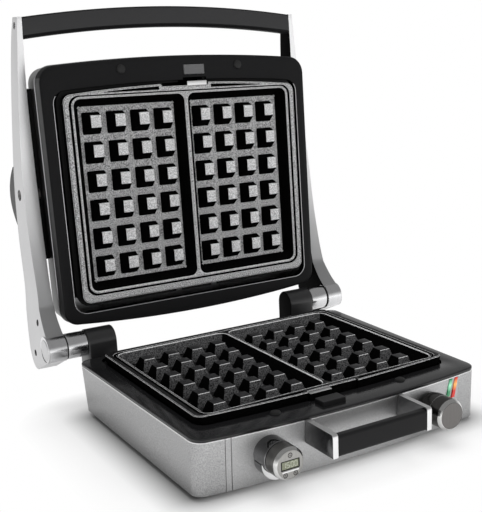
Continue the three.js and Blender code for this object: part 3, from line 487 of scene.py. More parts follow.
plateSizes = {
    "columns": 4, "rows": 6, "pitchX": 24.5, "pitchY": 27.6, "firstX": 20.75, "firstY": -70.7, "pegLean": 0.9,
    "topX": 10.6, "topY": 11.6, "flareX": 3.6, "flareY": 4.6, "depth": 11.6, "belowRim": 1.0,
    "ridgeHalf": 1.5, "sideRim": 115.4, "rearRim": -48.1, "frontRim": -231.5, "draft": 6.4, "thickness": 15.0,
    "grooveDeep": 1.5, "grooveRadius": 9.0, "landSide": 1.9, "grooveSide": 2.6, "landFront": 1.6,
    "grooveFront": 1.2, "landRear": 1.9, "grooveRear": 2.0, "beadWide": 1.4, "pocketFrom": 28.0,
    "pocketTo": 84.0, "pocketRim": 1.9, "notchHalf": 25.0, "notchDeep": 2.6,
    # The upper pegs' feet shift so their black walls show wider below and to the left, standing in for a
    # painted shadow.
    "footShift": {"Lower": (0, 0), "Upper": (1.6, 1.7)}, "sharp": 18,
}


def pegMaster(shift):
    s = plateSizes
    top = -s["belowRim"]
    rows = []
    profile = ((s["depth"] + 0.6 + top, 0, 1.3), (0.5, 0, 0.7), (0.1, 0.3, 0.5), (0, 0.6, 0.4))
    for drop, inset, corner in profile:
        flare = drop / (s["depth"] - s["belowRim"])
        halfX, halfY = (s["top" + axis] / 2 + s["flare" + axis] * flare - inset for axis in "XY")
        x, y = (amount * flare for amount in shift)
        y -= s["pegLean"]
        rows.append((roundRect(x - halfX, x + halfX, y - halfY, y + halfY, corner, 3), top - drop))
    return solid("pegMaster", levels(rows), localPlace)


def newTree(name, inputs):
    tree = bpy.data.node_groups.new(name, "GeometryNodeTree")
    for label, kind in {"Geometry": "Geometry", **inputs}.items():
        tree.interface.new_socket(label, in_out="INPUT", socket_type=f"NodeSocket{kind}")
    tree.interface.new_socket("Geometry", in_out="OUTPUT", socket_type="NodeSocketGeometry")
    return tree, addNode(tree, "NodeGroupInput").outputs


# Puts a copy of the master on each point, makes the copies real and gives them their finish.
def copiesOnPoints(tree, points, master, finish, **scale):
    shape = addNode(tree, "GeometryNodeObjectInfo", {"Object": master}).outputs["Geometry"]
    copies = addNode(tree, "GeometryNodeInstanceOnPoints", {"Points": points, "Instance": shape, **scale})
    real = addNode(tree, "GeometryNodeRealizeInstances", {"Geometry": copies.outputs["Instances"]})
    values = {"Geometry": real.outputs["Geometry"], "Material": finishes[finish]}
    coat = addNode(tree, "GeometryNodeSetMaterial", values)
    addNode(tree, "NodeGroupOutput", {"Geometry": coat.outputs["Geometry"]})
    return tree


def pegFieldTree():
    tree, given = newTree("pegField", {"Peg": "Object", "Columns": "Int", "Rows": "Int", "Pitch X": "Float",
                                       "Pitch Y": "Float", "First X": "Float", "First Y": "Float"})
    field = addNode(tree, "GeometryNodeMeshGrid", {"Vertices X": given["Columns"],
                                                   "Vertices Y": given["Rows"]})
    centre = {}
    for axis, count, way in (("X", "Columns", "ADD"), ("Y", "Rows", "SUBTRACT")):
        span = maths(tree, "MULTIPLY", maths(tree, "SUBTRACT", given[count], 1), given[f"Pitch {axis}"])
        give(tree, field, {f"Size {axis}": span})
        centre[axis] = maths(tree, way, given[f"First {axis}"], maths(tree, "MULTIPLY", span, 0.5))
    both = addNode(tree, "GeometryNodeJoinGeometry")
    for sign in (-1, 1):
        place = {"X": maths(tree, "MULTIPLY", centre["X"], sign), "Y": centre["Y"]}
        shift = addNode(tree, "ShaderNodeCombineXYZ", place).outputs["Vector"]
        values = {"Geometry": field.outputs["Mesh"], "Translation": shift}
        give(tree, both, {"Geometry": addNode(tree, "GeometryNodeTransform", values).outputs["Geometry"]})
    # The pegs start with the near-black wall coat, painted shade, before the casting's faces are sorted.
    return copiesOnPoints(tree, both.outputs["Geometry"], given["Peg"], "coatWallShade")


# Runs a tree on a new object. Each input is set by its socket's identifier before the first evaluation.
def runTree(name, data, tree, values):
    piece = addObject(name, data)
    field = piece.modifiers.new("field", "NODES")
    field.node_group = tree
    for socket in tree.interface.items_tree:
        if socket.in_out == "INPUT" and socket.name in values:
            field[socket.identifier] = values[socket.name]
    return bake(piece)


def pegField(tree, peg):
    s = plateSizes
    values = {"Peg": peg, "Columns": s["columns"], "Rows": s["rows"], "Pitch X": s["pitchX"] * mm,
              "Pitch Y": s["pitchY"] * mm, "First X": s["firstX"] * mm, "First Y": s["firstY"] * mm}
    return runTree("pegs", bpy.data.meshes.new("pegs"), tree, values)


def cavityRows(side):
    s = plateSizes
    slope = s["draft"] / s["depth"]
    rows = []
    profile = ((0, 0.75, 7.5), (-0.2, 0.25, 7.3), (-0.7, -0.7 * slope, 7.0), (-9.8, -9.8 * slope, 5.4),
               (-11.0, -11.0 * slope - 0.35, 5.0), (-s["depth"], -s["draft"] - 1.3, 4.4))
    for z, grow, radius in profile:
        inner, outer = sorted((side * (s["ridgeHalf"] - grow), side * (s["sideRim"] + grow)))
        rows.append((roundRect(inner, outer, s["frontRim"] - grow, s["rearRim"] + grow, radius, 6), z))
    return levels(rows)


def grooveRows():
    s = plateSizes
    rows = []
    floor = -s["grooveDeep"]
    profile = ((0, 1, 0.2), (-0.25, 1, 0), (floor, 1, -0.2), (floor, 0, 0.2), (-0.25, 0, 0), (0, 0, -0.2))
    for z, wide, slack in profile:
        side, front, rear = (s["land" + part] + s["groove" + part] * wide + slack
                             for part in ("Side", "Front", "Rear"))
        reach = s["sideRim"] + side
        radius = s["grooveRadius"] + s["grooveFront"] * wide + slack
        rows.append((roundRect(-reach, reach, s["frontRim"] - front, s["rearRim"] + rear, radius, 8), z))
    return levels(rows)


def frontPocket(side):
    s = plateSizes
    low, high = s["pocketFrom"], s["pocketTo"]
    inner = s["frontRim"] - s["landFront"] - s["grooveFront"] - s["beadWide"]
    points = [(low, inner), (high, inner)]
    points += [(x, frontEdge(rimPlan, -s["pocketRim"], x)) for x in steps(high, low, 12)]
    return solid("pocket", block(alongZ, [(side * x, y) for x, y in points], -s["grooveDeep"], 3), localPlace)


def plateCast(kind, tree):
    s = plateSizes
    notch = (s["notchHalf"], rimPlan["front"] + s["notchDeep"])
    skirt = [(-1.0, -s["thickness"]), (0.0, 1 - s["thickness"]), (0.0, -8.0)]
    rim = [(-0.2, -6.5), (0.0, -1.2), (-0.1, -0.7), (-0.4, -0.4), (-0.7, -0.4), (-0.75, -0.95),
           (-0.95, -0.95), (-1.0, -0.2), (-1.15, 0)]
    mesh = bmesh.new()
    outside = addRows(mesh, planRows((platePlan, skirt), (rimPlan, rim), notch=notch))
    mesh.faces.new(outside[0][::-1])
    groove = addRows(mesh, grooveRows())
    cavities = [addRows(mesh, cavityRows(side)) for side, _ in sides]
    for cavity in cavities:
        mesh.faces.new(cavity[-1])
    for loops in ((outside[-1], groove[0]), (groove[-1], *(cavity[0] for cavity in cavities))):
        edges = [mesh.edges.get((loop[j - 1], loop[j])) for loop in loops for j in range(len(loop))]
        bmesh.ops.triangle_fill(mesh, use_beauty=True, use_dissolve=False, edges=edges)
    cast = finishMesh("plateCast", mesh, localPlace)
    peg = pegMaster(s["footShift"][kind])
    combine(cast, pegField(tree, peg), operation="UNION", sharp=s["sharp"])
    combine(cast, frontPocket(-1), frontPocket(1), sharp=s["sharp"])
    bpy.data.objects.remove(peg)
    return cast


coatLimits = {
    "flat": 0.93, "sloped": 0.45, "edge": -1.1, "pegSlope": 0.5, "pegEdge": -1.5, "forward": -0.4,
    "upright": -0.6, "aboveFloor": 1, "groove": (-1.9, -1.2), "bead": (-1.0, -0.9), "pegTop": (-1.5, -0.5),
}


# Which part of the coat a face of the casting takes, by its tilt and its depth below the rim; the parts are
# lit and shaded copies of the coat, painted light.
def coatPart(face):
    s, limits = plateSizes, coatLimits
    level, depth = face.normal.z, face.center.z / mm
    inside = abs(face.center.x / mm) < s["sideRim"] and s["frontRim"] < face.center.y / mm < s["rearRim"]
    groove, bead, pegTop = (limits[key][0] < depth < limits[key][1] for key in ("groove", "bead", "pegTop"))
    if level >= limits["flat"]:
        if groove or bead and not inside:
            return "Wall"
        return "Peg" if inside and pegTop else "Field"
    forward = face.normal.y
    pegEdge = level > limits["pegSlope"] and depth > limits["pegEdge"] and forward < limits["forward"]
    if level > limits["sloped"] and depth > limits["edge"] or inside and pegEdge:
        return "Edge"
    raised = depth > limits["aboveFloor"] - s["depth"]
    return "Front" if inside and forward < limits["upright"] and raised else "Wall"


def wafflePlate(kind, tree, place, node):
    plate = plateCast(kind, tree)
    plate.name = f"castPlate{kind}"
    # Each part takes its own lit, highlighted or shaded copy of the coat: painted light.
    coats = {"Field": f"coatField{kind}", "Peg": f"coatPeg{kind}", "Edge": f"coatEdgeHighlight{kind}",
             "Wall": "coatWallShade", "Front": "coatWallShade" if kind == "Upper" else "coatLitFrontLower"}
    parts = [coatPart(face) for face in plate.data.polygons]
    for vert in plate.data.vertices:
        vert.co = place(vert.co / mm)
    settle(plate, node, coats["Field"], "non_stick", node)
    for part in list(coats)[1:]:
        plate.data.materials.append(finishes[coats[part]])
    for face, part in zip(plate.data.polygons, parts):
        face.material_index = list(coats).index(part)


pegTree = pegFieldTree()
wafflePlate("Lower", pegTree, onBaseRim, "lower_plate")
wafflePlate("Upper", pegTree, onLidRim, "upper_plate")
print("plates made")

baseSizes = {
    "bezelTop": -6.3, "bezelBottom": -8.7, "wall": 2.0, "draft": 2.4, "seam": 116.5, "seamGap": 0.45,
    "seamTight": 0.03, "seamRear": 60.0, "groove": 111.6, "grooveHalf": 0.45, "grooveClear": 1.2,
    "grooveDeep": 0.7, "taper": 4.3, "taperFrom": -55.0, "taperLength": 190.0, "taperLow": 0.4,
}
wallTop = housingHigh.z
wallBottom = housingLow.z

# The release keys and the clips they push, from the rim's plane.
releaseSizes = {
    "centre": -13.6, "width": 22.4, "rear": -249.0, "slack": 0.4, "corner": 0.8, "through": (-30, 12),
    "foot": baseSizes["bezelTop"] - 12.2, "ramp": 7.0, "slot": (-26.5, -1.0), "slotFront": 2.7,
    "slotRear": 12.0, "depth": {"Lower": 13.0, "Upper": 9.5}, "proud": {"Lower": 3.6, "Upper": 1.0},
    "bevel": 0.7, "clipWidth": 21.5, "clipTop": -1.1, "clipDrop": 3.3, "clipGap": 0.3, "clipTip": 1.5,
    "clipThick": 1.4, "hookThick": 1.8, "hookLong": 5.5, "clipBevel": 0.35,
}


def buttonHole(place, kind):
    s = releaseSizes
    half = s["width"] / 2 + s["slack"]
    front = s["rear"] - s["depth"][kind] - s["slack"]
    hole = roundRect(s["centre"] - half, s["centre"] + half, front, s["rear"] + s["slack"], s["corner"])
    return solid("buttonHole", block(alongZ, hole, *s["through"]), place)


def clipSlot(place):
    s = releaseSizes
    front = openingPlan["front"]
    slot = roundRect(*s["slot"], front - s["slotFront"], front + s["slotRear"], s["corner"])
    return solid("clipSlot", block(alongZ, slot, *s["through"]), place)


# The base's sides lean in toward the front, most at the top.
def tapered(p):
    s = baseSizes
    x, y, z = p
    shares = ((s["taperFrom"] - y) / s["taperLength"], (abs(x) - s["seam"]) / (basePlan["half"] - s["seam"]),
              (z - wallBottom) / (wallTop - wallBottom))
    along, across, up = (min(max(share, 0), 1) for share in shares)
    inward = s["taper"] * along * across * (s["taperLow"] + (1 - s["taperLow"]) * up)
    return x - math.copysign(inward, x), y, z


def onWall(p):
    return onBase(tapered(p))


def onBezel(p):
    return onBase(tapered((p[0], p[1], p[2] + baseRimZ)))


wellLimits = {"tilt": 0.6, "side": 1.3, "front": 0.8, "rear": 1.3, "high": -6.6}


# Painted shade: the walls of the well behind a plate take the near-black shade finish.
def paintWellShade(piece, place, plan):
    def inWell(face):
        s = wellLimits
        tilt, y, high = toRim(place, face)
        across = abs(face.center.x / mm) < plan["half"] + s["side"]
        along = plan["front"] - s["front"] < y < plan["rear"] + s["rear"]
        return tilt < s["tilt"] and high < s["high"] and across and along

    paintFaces(piece, "deepBlack", inWell)


def baseBezel():
    top, low = baseSizes["bezelTop"], baseSizes["bezelBottom"]
    outer = [(-0.5, low), (-0.1, low + 0.15), (0, low + 0.4), (0, top - 0.9), (-0.25, top - 0.4),
             (-0.8, top - 0.1), (-1.6, top)]
    inner = [(1.2, top), (0.45, top - 0.12), (0.1, top - 0.45), (0, top - 0.9), (0, low - 4), (0.9, low - 4),
             (0.9, low)]
    bezel = planPiece("bezelFrame", onBezel, (basePlan, outer), (openingPlan, inner))
    combine(bezel, buttonHole(onBaseRim, "Lower"), clipSlot(onBaseRim), sharp=25)
    settle(bezel, "base", "bezelGloss", "gloss_black", "base_bezel")
    paintWellShade(bezel, onBaseRim, openingPlan)


def wallProfile():
    inner = baseSizes["wall"]
    lean = baseSizes["draft"] / (wallTop - wallBottom)
    rows = [(wallBottom, -0.6), (wallBottom + 0.6, 0), (wallTop - 1.0, 0), (wallTop - 0.3, -0.3),
            (wallTop, -1.0), (wallTop, 0.2 - inner), (wallTop - 0.3, -inner), (wallBottom + 0.3, -inner),
            (wallBottom, 0.3 - inner)]
    return [(z, grow - lean * (wallTop - z)) for z, grow in rows]


# The front panel lies between two seams and has a groove near its left end.
def panelPath(grow):
    s = baseSizes
    groove = -s["groove"]
    xs = steps(-s["seam"] + s["seamGap"] / 2, s["seam"] - s["seamTight"], 36)
    xs = [x for x in xs if abs(x - groove) > s["grooveClear"]]
    xs = sorted(xs + [groove - s["grooveHalf"], groove, groove + s["grooveHalf"]])
    return [(x, frontEdge(basePlan, grow, x) + (s["grooveDeep"] if x == groove else 0)) for x in xs]


def wrapPath(grow):
    outline = planOutline(basePlan, grow)
    seam, rear = baseSizes["seam"], basePlan["rear"] - baseSizes["seamRear"]
    start = next(i for i, (x, y) in enumerate(outline) if y < rear and x > seam + 1)
    around = [p for p in outline[start:] + outline[:start] if abs(p[0]) >= seam + 1 or p[1] >= rear]
    ends = (seam + baseSizes["seamTight"], -seam - baseSizes["seamGap"] / 2)
    right, left = ([(x, frontEdge(basePlan, grow, x))] for x in ends)
    return right + around + left


def wallPiece(name, path):
    rows = levels([(path(grow), z) for z, grow in wallProfile()])
    count = min(len(row) for row in rows)
    return solid(name, [row[:count] for row in rows], onWall, loopAlong=False, loopAcross=True)


lensSizes = {
    "lean": 0.22, "half": 1.75, "low": -30, "high": -12, "slack": 0.25, "through": (-290, -240), "deep": 6,
    "bevel": 0.5, "spotFrom": 0.0005, "spotTo": 0.0055, "emission": 0.22, "coat": 0.6,
}
lenses = {  # x, finish, slot, color, color of the lit spot and the spot's height
    "ready_lens_green": (104.8, "greenGlow", "green_lens", (0.01, 0.22, 0.08), (0.35, 0.85, 0.55), -17.5),
    "power_lens_red": (111.6, "redGlow", "red_lens", (0.62, 0.015, 0.008), (1.0, 0.42, 0.10), -18.0),
}


def glowLens(name, color, spot, height):
    s = lensSizes
    material, tree, shader = nodeMaterial(name)
    away = maths(tree, "SUBTRACT", axisOf(tree, coordinate(tree), "Z"), hinge.z + height * mm)
    near = spread(tree, maths(tree, "ABSOLUTE", away), 1, 0, s["spotFrom"], s["spotTo"])
    shown = blendColor(tree, near, color, spot)
    give(tree, shader, {"Base Color": shown, "Emission Color": shown, "Emission Strength": s["emission"],
                        "Coat Weight": s["coat"],
                        "Roughness": spread(tree, objectPattern(tree, even[1], 300.0), 0.10, 0.18)})
    return material


def lensShape(x, grow):
    s = lensSizes
    shift, half = s["lean"] * (s["high"] - s["low"]) / 2, s["half"] + grow
    return [(x - shift - half, s["low"] - grow), (x - shift + half, s["low"] - grow),
            (x + shift + half, s["high"] + grow), (x + shift - half, s["high"] + grow)]


def baseCasing():
    s = lensSizes
    wrap = wallPiece("casingWrap", wrapPath)
    panel = wallPiece("frontPanel", panelPath)
    slots = [block(alongY, lensShape(x, s["slack"]), *s["through"]) for x, *_ in lenses.values()]
    combine(panel, *(solid("slot", slot) for slot in slots))
    for piece, finish, node in ((wrap, "casingSteel", "base_housing"), (panel, "panelSteel", "front_panel")):
        settle(piece, "base", finish, "casing_steel", node)
        # Painted highlight: the wall's top lip takes the bright edge finish.
        paintFaces(piece, "edgeSatin", lambda face: heightOf(face) > wallTop - 1.0 and face.normal.z > 0.25)
    for node, (x, finish, slot, *glow) in lenses.items():
        finishes[finish] = glowLens(finish, *glow)
        front = nodeBox(node)[0].y
        window = solid(node + "_window", block(alongY, lensShape(x, 0), front, front + s["deep"]))
        addBevel(window, s["bevel"])
        settle(window, "base", finish, slot, node)


bumperSizes = {"x": 63, "profile": ((-0.1, 4.5), (0.8, 4.3), (1.4, 3.9), (1.8, 3.0), (2.0, 1.6), (2.05, 0))}


def bumpers(place, body, prefix, y):
    s = bumperSizes
    profile = [(baseSizes["bezelTop"] + rise, radius) for rise, radius in s["profile"]]
    for side, word in sides:
        dome = turned(alongZ, (side * s["x"], y), profile, 40)
        settle(solid(f"{prefix}Bumper{word.title()}", dome, place, 60), body, "rubberBlack", "rubber",
               f"{prefix}_bumper_{word}")


baseBezel()
baseCasing()
bumpers(onBaseRim, "base", "lower", basePlan["front"] + 22)
print("base casing made")


def releaseButton(kind, place, finish):
    s = releaseSizes
    front, top, foot = s["rear"] - s["depth"][kind], baseSizes["bezelTop"] + s["proud"][kind], s["foot"]
    half, ramp = s["width"] / 2, s["ramp"]
    points = [(s["rear"], foot), (s["rear"], top), (front, top), (front, foot + ramp), (front + ramp, foot)]
    button = solid(f"releaseKey{kind}", block(alongX, points, s["centre"] - half, s["centre"] + half), place)
    addBevel(button, s["bevel"])
    settle(button, f"{kind.lower()}_release", finish, "satin_black", f"{kind.lower()}_release_button")


# A flat strip that hooks toward the plate, with a slope at its foot that the key's ramp slides on.
def plateClip(kind, place):
    s = releaseSizes
    front, face, top = s["rear"] - s["depth"][kind], openingPlan["front"] + 1, s["clipTop"]
    footTop = s["foot"] - s["clipDrop"]
    slope = front + s["ramp"] + s["foot"] - s["clipGap"] * math.sqrt(2)
    tipTop = slope - front - s["clipGap"]
    half, tip = s["clipWidth"] / 2, front - s["clipTip"]
    inner, hook = face + s["clipThick"], face + s["hookLong"]
    footLow, hookLow = footTop - s["clipThick"], top - s["hookThick"]
    points = [(face, top), (face, footTop), (slope - footTop, footTop), (front + s["clipGap"], tipTop),
              (tip, tipTop), (tip, footLow), (inner, footLow), (inner, hookLow), (hook, hookLow), (hook, top)]
    clip = solid(f"clip{kind}", block(alongX, points, s["centre"] - half, s["centre"] + half), place)
    addBevel(clip, s["clipBevel"], 2)
    settle(bake(clip), f"{kind.lower()}_clip", "edgeSatin", "bright_chrome", f"{kind.lower()}_plate_clip")
    # Painted shade: the clip's faces deeper than its hook take the near-black shade finish.
    paintFaces(clip, "deepBlack", lambda face: toRim(place, face)[2] < -1.9)


releaseButton("Lower", onBaseRim, "gripSatin")
releaseButton("Upper", onLidRim, "buttonGrey")
plateClip("Lower", onBaseRim)
plateClip("Upper", onLidRim)

lidSizes = {
    "face": -6.3, "band": -20.5, "trim": -22.3, "shell": -43.9, "dome": -60.9, "wall": 2.0, "shellDraft": 1.2,
    "domeSpread": 30.0, "frontRoom": 9.0,
}


def lidFrame():
    s = lidSizes
    top, band, wall = s["face"], s["band"], s["wall"]
    outer = [(-wall, band), (-0.3, band), (0, band + 0.3), (0, top - 2.6), (-0.25, top - 1.5),
             (-1.0, top - 0.7), (-2.4, top - 0.2), (-5.0, top)]
    inner = [(1.3, top), (0.6, top - 0.1), (0.15, top - 0.5), (0, top - 1.0), (0, top - 8), (1.0, top - 8),
             (1.2, top - 2.4)]
    inside = [(-wall, top - 2.4)]
    piece = planPiece("lidFaceFrame", onLidRim, (lidPlan, outer), (lidOpening, inner), (lidPlan, inside))
    combine(piece, buttonHole(onLidRim, "Upper"), clipSlot(onLidRim))
    settle(piece, "lid", "frameSatin", "satin_black", "lid_frame")
    # Painted sheen: the frame's outer side faces take a lighter grey than its black front.
    paintFaces(piece, "bandGrey", lambda face: toRim(onLidRim, face)[0] < 0.35
               and abs(face.center.x / mm) > lidPlan["half"] - 1.5)
    # Painted shade: the walls of the lid's opening take the near-black shade finish.
    paintWellShade(piece, onLidRim, lidOpening)
    # Painted highlight: a silver bead along the opening's edge stands in for the edge's highlight.
    bead = [(0.85, top - 0.05), (0.7, top + 0.08), (0.35, top + 0.06), (0.1, top - 0.15), (0.02, top - 0.5),
            (0.35, top - 0.5)]
    line = planPiece("lidOpeningBead", onLidRim, (lidOpening, bead))
    half, front = lidOpening["half"] + 5, lidOpening["front"]
    room = rectangle(-half, half, front - 5, front + s["frontRoom"])
    combine(line, solid("beadCut", block(alongZ, room, -20, 10), onLidRim))
    settle(line, "lid", "trimSilver", "arm_metal")


def lidBands():
    s = lidSizes
    band, trim, shell, wall, lean = (s[key] for key in ("band", "trim", "shell", "wall", "shellDraft"))
    silver = [(-wall, band - 0.3), (0.2, band - 0.3), (0.5, band - 0.6), (0.5, trim + 0.3), (0.2, trim),
              (-wall, trim)]
    side = [(-wall, trim - 0.3), (-0.3, trim - 0.3), (0, trim - 0.7), (-lean, shell + 0.5),
            (-lean - 0.4, shell), (-lean - wall, shell)]
    for name, profile, finish, slot, node in (
            ("lidSilverTrim", silver, "trimSilver", "arm_metal", "lid_trim"),
            ("lidSideShell", side, "hingeSatin", "band_grey", "lid_shell")):
        settle(planPiece(name, onLidRim, (lidPlan, profile)), "lid", finish, slot, node)


def lidDome():
    s = lidSizes
    top, lean = s["shell"] - 0.3, s["shellDraft"]
    profile = [(-lean - 1.2, top), (-lean, top)]
    for turn in (math.radians(angle) for angle in steps(0, 90, 14)[1:]):
        inset = lean + s["domeSpread"] * (1 - math.cos(turn))
        profile.append((-inset, top - (top - s["dome"]) * math.sin(turn)))
    outer = planPiece("lidDomeCover", onLidRim, (lidPlan, profile), loopAcross=False)
    settle(outer, "lid", "coverSteel", "arm_metal", "lid_cover")


lidFrame()
lidBands()
lidDome()
bumpers(onLidRim, "lid", "upper", lidPlan["front"] + 11)
print("lid casing made")

armTop = -lidPlan["front"] + 38.0
armSizes = {
    "barrel": 13.3, "barrelInner": 149.5, "foot": -10, "clear": 5, "bevel": 2.2, "through": 6,
    "frontFrom": 36, "backFrom": 28, "barrelArc": (131.4, 261), "joinBend": (5, 17), "kneeBend": (52, 10),
    "lowerBend": ((26, -26), (41, -29), (47, -8)), "blank": (190, 120), "across": (-40, 100),
    "screws": ((53, 298), (22, 22), (30, -10)), "screwSink": 3.6, "screwHole": 3.3,
    "pivot": (52.0, armTop - 164.0), "pivotSink": 4, "pivotHole": 5.3, "wellSink": 1.4, "wellRadius": 11.8,
    "cap": ((165.9, 10.3), (167.4, 10.3), (167.75, 10.0), (167.9, 9.4), (167.95, 0)),
}
# The arm's front and back edge, then how far its two faces stand out from the lid's side, all by height.
frontOfArm = smoothEdge([(36, 17.5), (92, 30.5), (130, 36), (167, 40), (204, 42.2), (armTop - 66, 44),
                         (armTop, 44.2)])
backOfArm = smoothEdge([(28, 58), (86, 65.5), (106, 67), (armTop - 85, 66.5), (armTop - 48, 66),
                        (armTop - 16, 63), (armTop, 58)])
innerSpread = smoothEdge([(13, 7), (54, 6.9), (92, 5.7), (167, 4.5), (armTop - 84, 4), (armTop - 30, 2.5),
                          (armTop, 1.3)])
outerSpread = smoothEdge([(-10, 25.5), (9, 24.2), (36, 21.4), (54, 20.1), (92, 19.5), (148, 18.3),
                          (204, 14.6), (armTop - 48, 10), (armTop, 5.7)])


def armInner(z):
    return lidPlan["half"] + innerSpread(z)


def armOuter(z):
    return lidPlan["half"] + outerSpread(z)


def curve(a, b, c, count):
    shares = steps(0, 1, count)
    return [tuple((1 - t) ** 2 * p + 2 * t * (1 - t) * q + t * t * r for p, q, r in zip(a, b, c))
            for t in shares]


def armSideOutline():
    s = armSizes
    front = [(frontOfArm(z), z) for z in reversed(steps(s["frontFrom"], armTop, 44))]
    barrel = arcPoints(0, 0, s["barrel"], *s["barrelArc"], 28)
    lower = curve(*s["lowerBend"], 12)
    back = [(backOfArm(z), z) for z in steps(s["backFrom"], armTop, 44)]
    join = curve(front[-1], s["joinBend"], barrel[0], 6)[1:-1]
    knee = curve(lower[-1], s["kneeBend"], back[0], 6)[1:-1]
    return front + join + barrel + lower + knee + back


# An arm is its side outline, cut to the shape that it shows from the front.
def armBlank(side):
    s = armSizes
    outline = armSideOutline()
    low = min(z for _, z in outline) - s["clear"]
    body = solid("armBlank", block(alongX, outline, *(side * x for x in s["blank"])))
    front = [(armOuter(s["foot"]), low)] + [(armOuter(z), z) for z in steps(s["foot"], armTop + 2, 52)]
    front += [(armInner(z), z) for z in reversed(steps(s["barrel"] + 0.01, armTop + 2, 44))]
    front += [(s["barrelInner"], s["barrel"]), (s["barrelInner"], low)]
    profile = solid("armProfile", block(alongY, [(side * x, z) for x, z in front], *s["across"]))
    return combine(body, profile, operation="INTERSECT")


def sideHole(side, y, z, sink, radius, count):
    face = armOuter(z)
    ends = ((side * (face - sink), radius), (side * (face + armSizes["through"]), radius))
    return solid("hole", turned(alongX, (y, z), ends, count))


def arms():
    s = armSizes
    for side, word in sides:
        arm = armBlank(side)
        addBevel(arm, s["bevel"], 4, 50)
        bake(arm)
        holes = [sideHole(side, y, z, s["screwSink"], s["screwHole"], 32) for y, z in s["screws"]]
        holes.append(sideHole(side, *s["pivot"], s["pivotSink"], s["pivotHole"], 40))
        holes.append(sideHole(side, 0, 0, s["wellSink"], s["wellRadius"], 64))
        combine(arm, *holes)
        arm.name = f"armCasting{word.title()}"
        settle(arm, "lid", "armSatin", "arm_metal", f"arm_{word}")
        # Painted shade: the arm's faces toward the lid take the near-black shade finish.
        paintFaces(arm, "deepBlack", lambda face: face.normal.x * side < -0.6)
        # Painted highlight: the arms' front faces take a brighter copy of their metal, which darkens toward
        # the floor as painted shade.
        paintFaces(arm, "armFront", lambda face: face.material_index == 0 and face.normal.y < -0.5
                   and heightOf(face) > 14)
        cap = hingeRing(side, s["cap"])
        settle(solid(f"barrelCap{word.title()}", cap), "lid", "armSatin", "arm_metal", f"hinge_cap_{word}")
        # Painted shadow: a black ring sits at the bottom of the cap's well.
        well, radius = armOuter(0) - s["wellSink"], s["wellRadius"] - 0.02
        shade = hingeRing(side, ((well - 0.3, radius), (well + 0.15, radius)))
        settle(solid(f"capWell{word.title()}", shade), "lid", "rubberBlack", "satin_black")


gapSizes = {"low": 78, "belowLid": 27, "inLid": 5.0, "inArm": 0.3, "back": 6, "deep": 14}


# Dark strips fill the gap between the lid and each arm, a painted shadow where the gap is in shade.
def gapStrips():
    s = gapSizes
    for side, word in sides:
        outlines = []
        for z in steps(s["low"], -lidPlan["front"] - s["belowLid"], 40):
            back = backOfArm(z) - s["back"]
            inner, outer = lidPlan["half"] - s["inLid"], armInner(z) + s["inArm"]
            outlines.append((rectangle(side * inner, side * outer, back, back - s["deep"]), z))
        settle(solid(f"gapStrip{word.title()}", levels(outlines)), "lid", "frameSatin", "satin_black")


screwSizes = {"sink": 3.5, "radius": 2.9, "high": 1.6, "chamfer": 0.5, "socket": 1.3, "floor": 0.5}


def screwTree():
    tree, given = newTree("armScrews", {"Screw": "Object", "Size": "Float"})
    return copiesOnPoints(tree, given["Geometry"], given["Screw"], "screwBlack", Scale=given["Size"])


def armScrews(tree):
    s = screwSizes
    radius, high, chamfer, socket, floor = (s[key] for key in ("radius", "high", "chamfer", "socket",
                                                               "floor"))
    section = ((0, radius), (high - chamfer, radius), (high, radius - chamfer), (high, socket),
               (floor, socket - 0.1), (floor, 0))
    for side, word in sides:
        screw = solid("screw", hingeRing(side, section, 32), localPlace, 30)
        spots = bpy.data.meshes.new("screwSpots")
        places = [(side * (armOuter(z) - s["sink"]), y, z) for y, z in armSizes["screws"]]
        spots.from_pydata([onBase(place) for place in places], [], [])
        screws = runTree(f"armScrews{word.title()}", spots, tree, {"Screw": screw, "Size": 1.0})
        bpy.data.objects.remove(screw)
        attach(screws, "lid")


arms()
armScrews(screwTree())
gapStrips()
print("arms made")

barSizes = {
    "front": 44.4, "rear": 62.0, "height": 20.0, "arch": 9.0, "below": 20.0, "gap": 0.3, "footRadius": 5,
    "headRadius": 2,
}


# The carry bar arches up between the arms.
def handleBar():
    s = barSizes
    low = armTop - s["below"]
    half = armInner(low) - s["gap"]
    front, rear, big, small = s["front"], s["rear"], s["footRadius"], s["headRadius"]
    outlines = []
    for x in (share * half for share in steps(-1, 1, 48)):
        foot = low + s["arch"] * (1 - (x / lidPlan["half"]) ** 2)
        head = foot + s["height"]
        section = arcPoints(front + big, foot + big, big, 180, 270, 6)
        section += arcPoints(rear - big, foot + big, big, 270, 360, 6)
        section += arcPoints(rear - small, head - small, small, 0, 90, 4)
        section += arcPoints(front + small, head - small, small, 90, 180, 4)
        outlines.append((section, x))
    bar = solid("carryBar", levels(outlines, alongX))
    settle(bar, "lid", "barSatin", "satin_black", "handle_bar")
    # Painted shade: the bar's top and bottom faces take a darker black than its front.
    paintFaces(bar, "frameSatin", lambda face: abs(face.normal.z) > 0.3)


padSizes = {
    "inner": 150, "outer": 160, "edge": 0.9, "low": 105, "high": 168, "bulge": 21, "foot": 0.7, "back": 0.3,
}


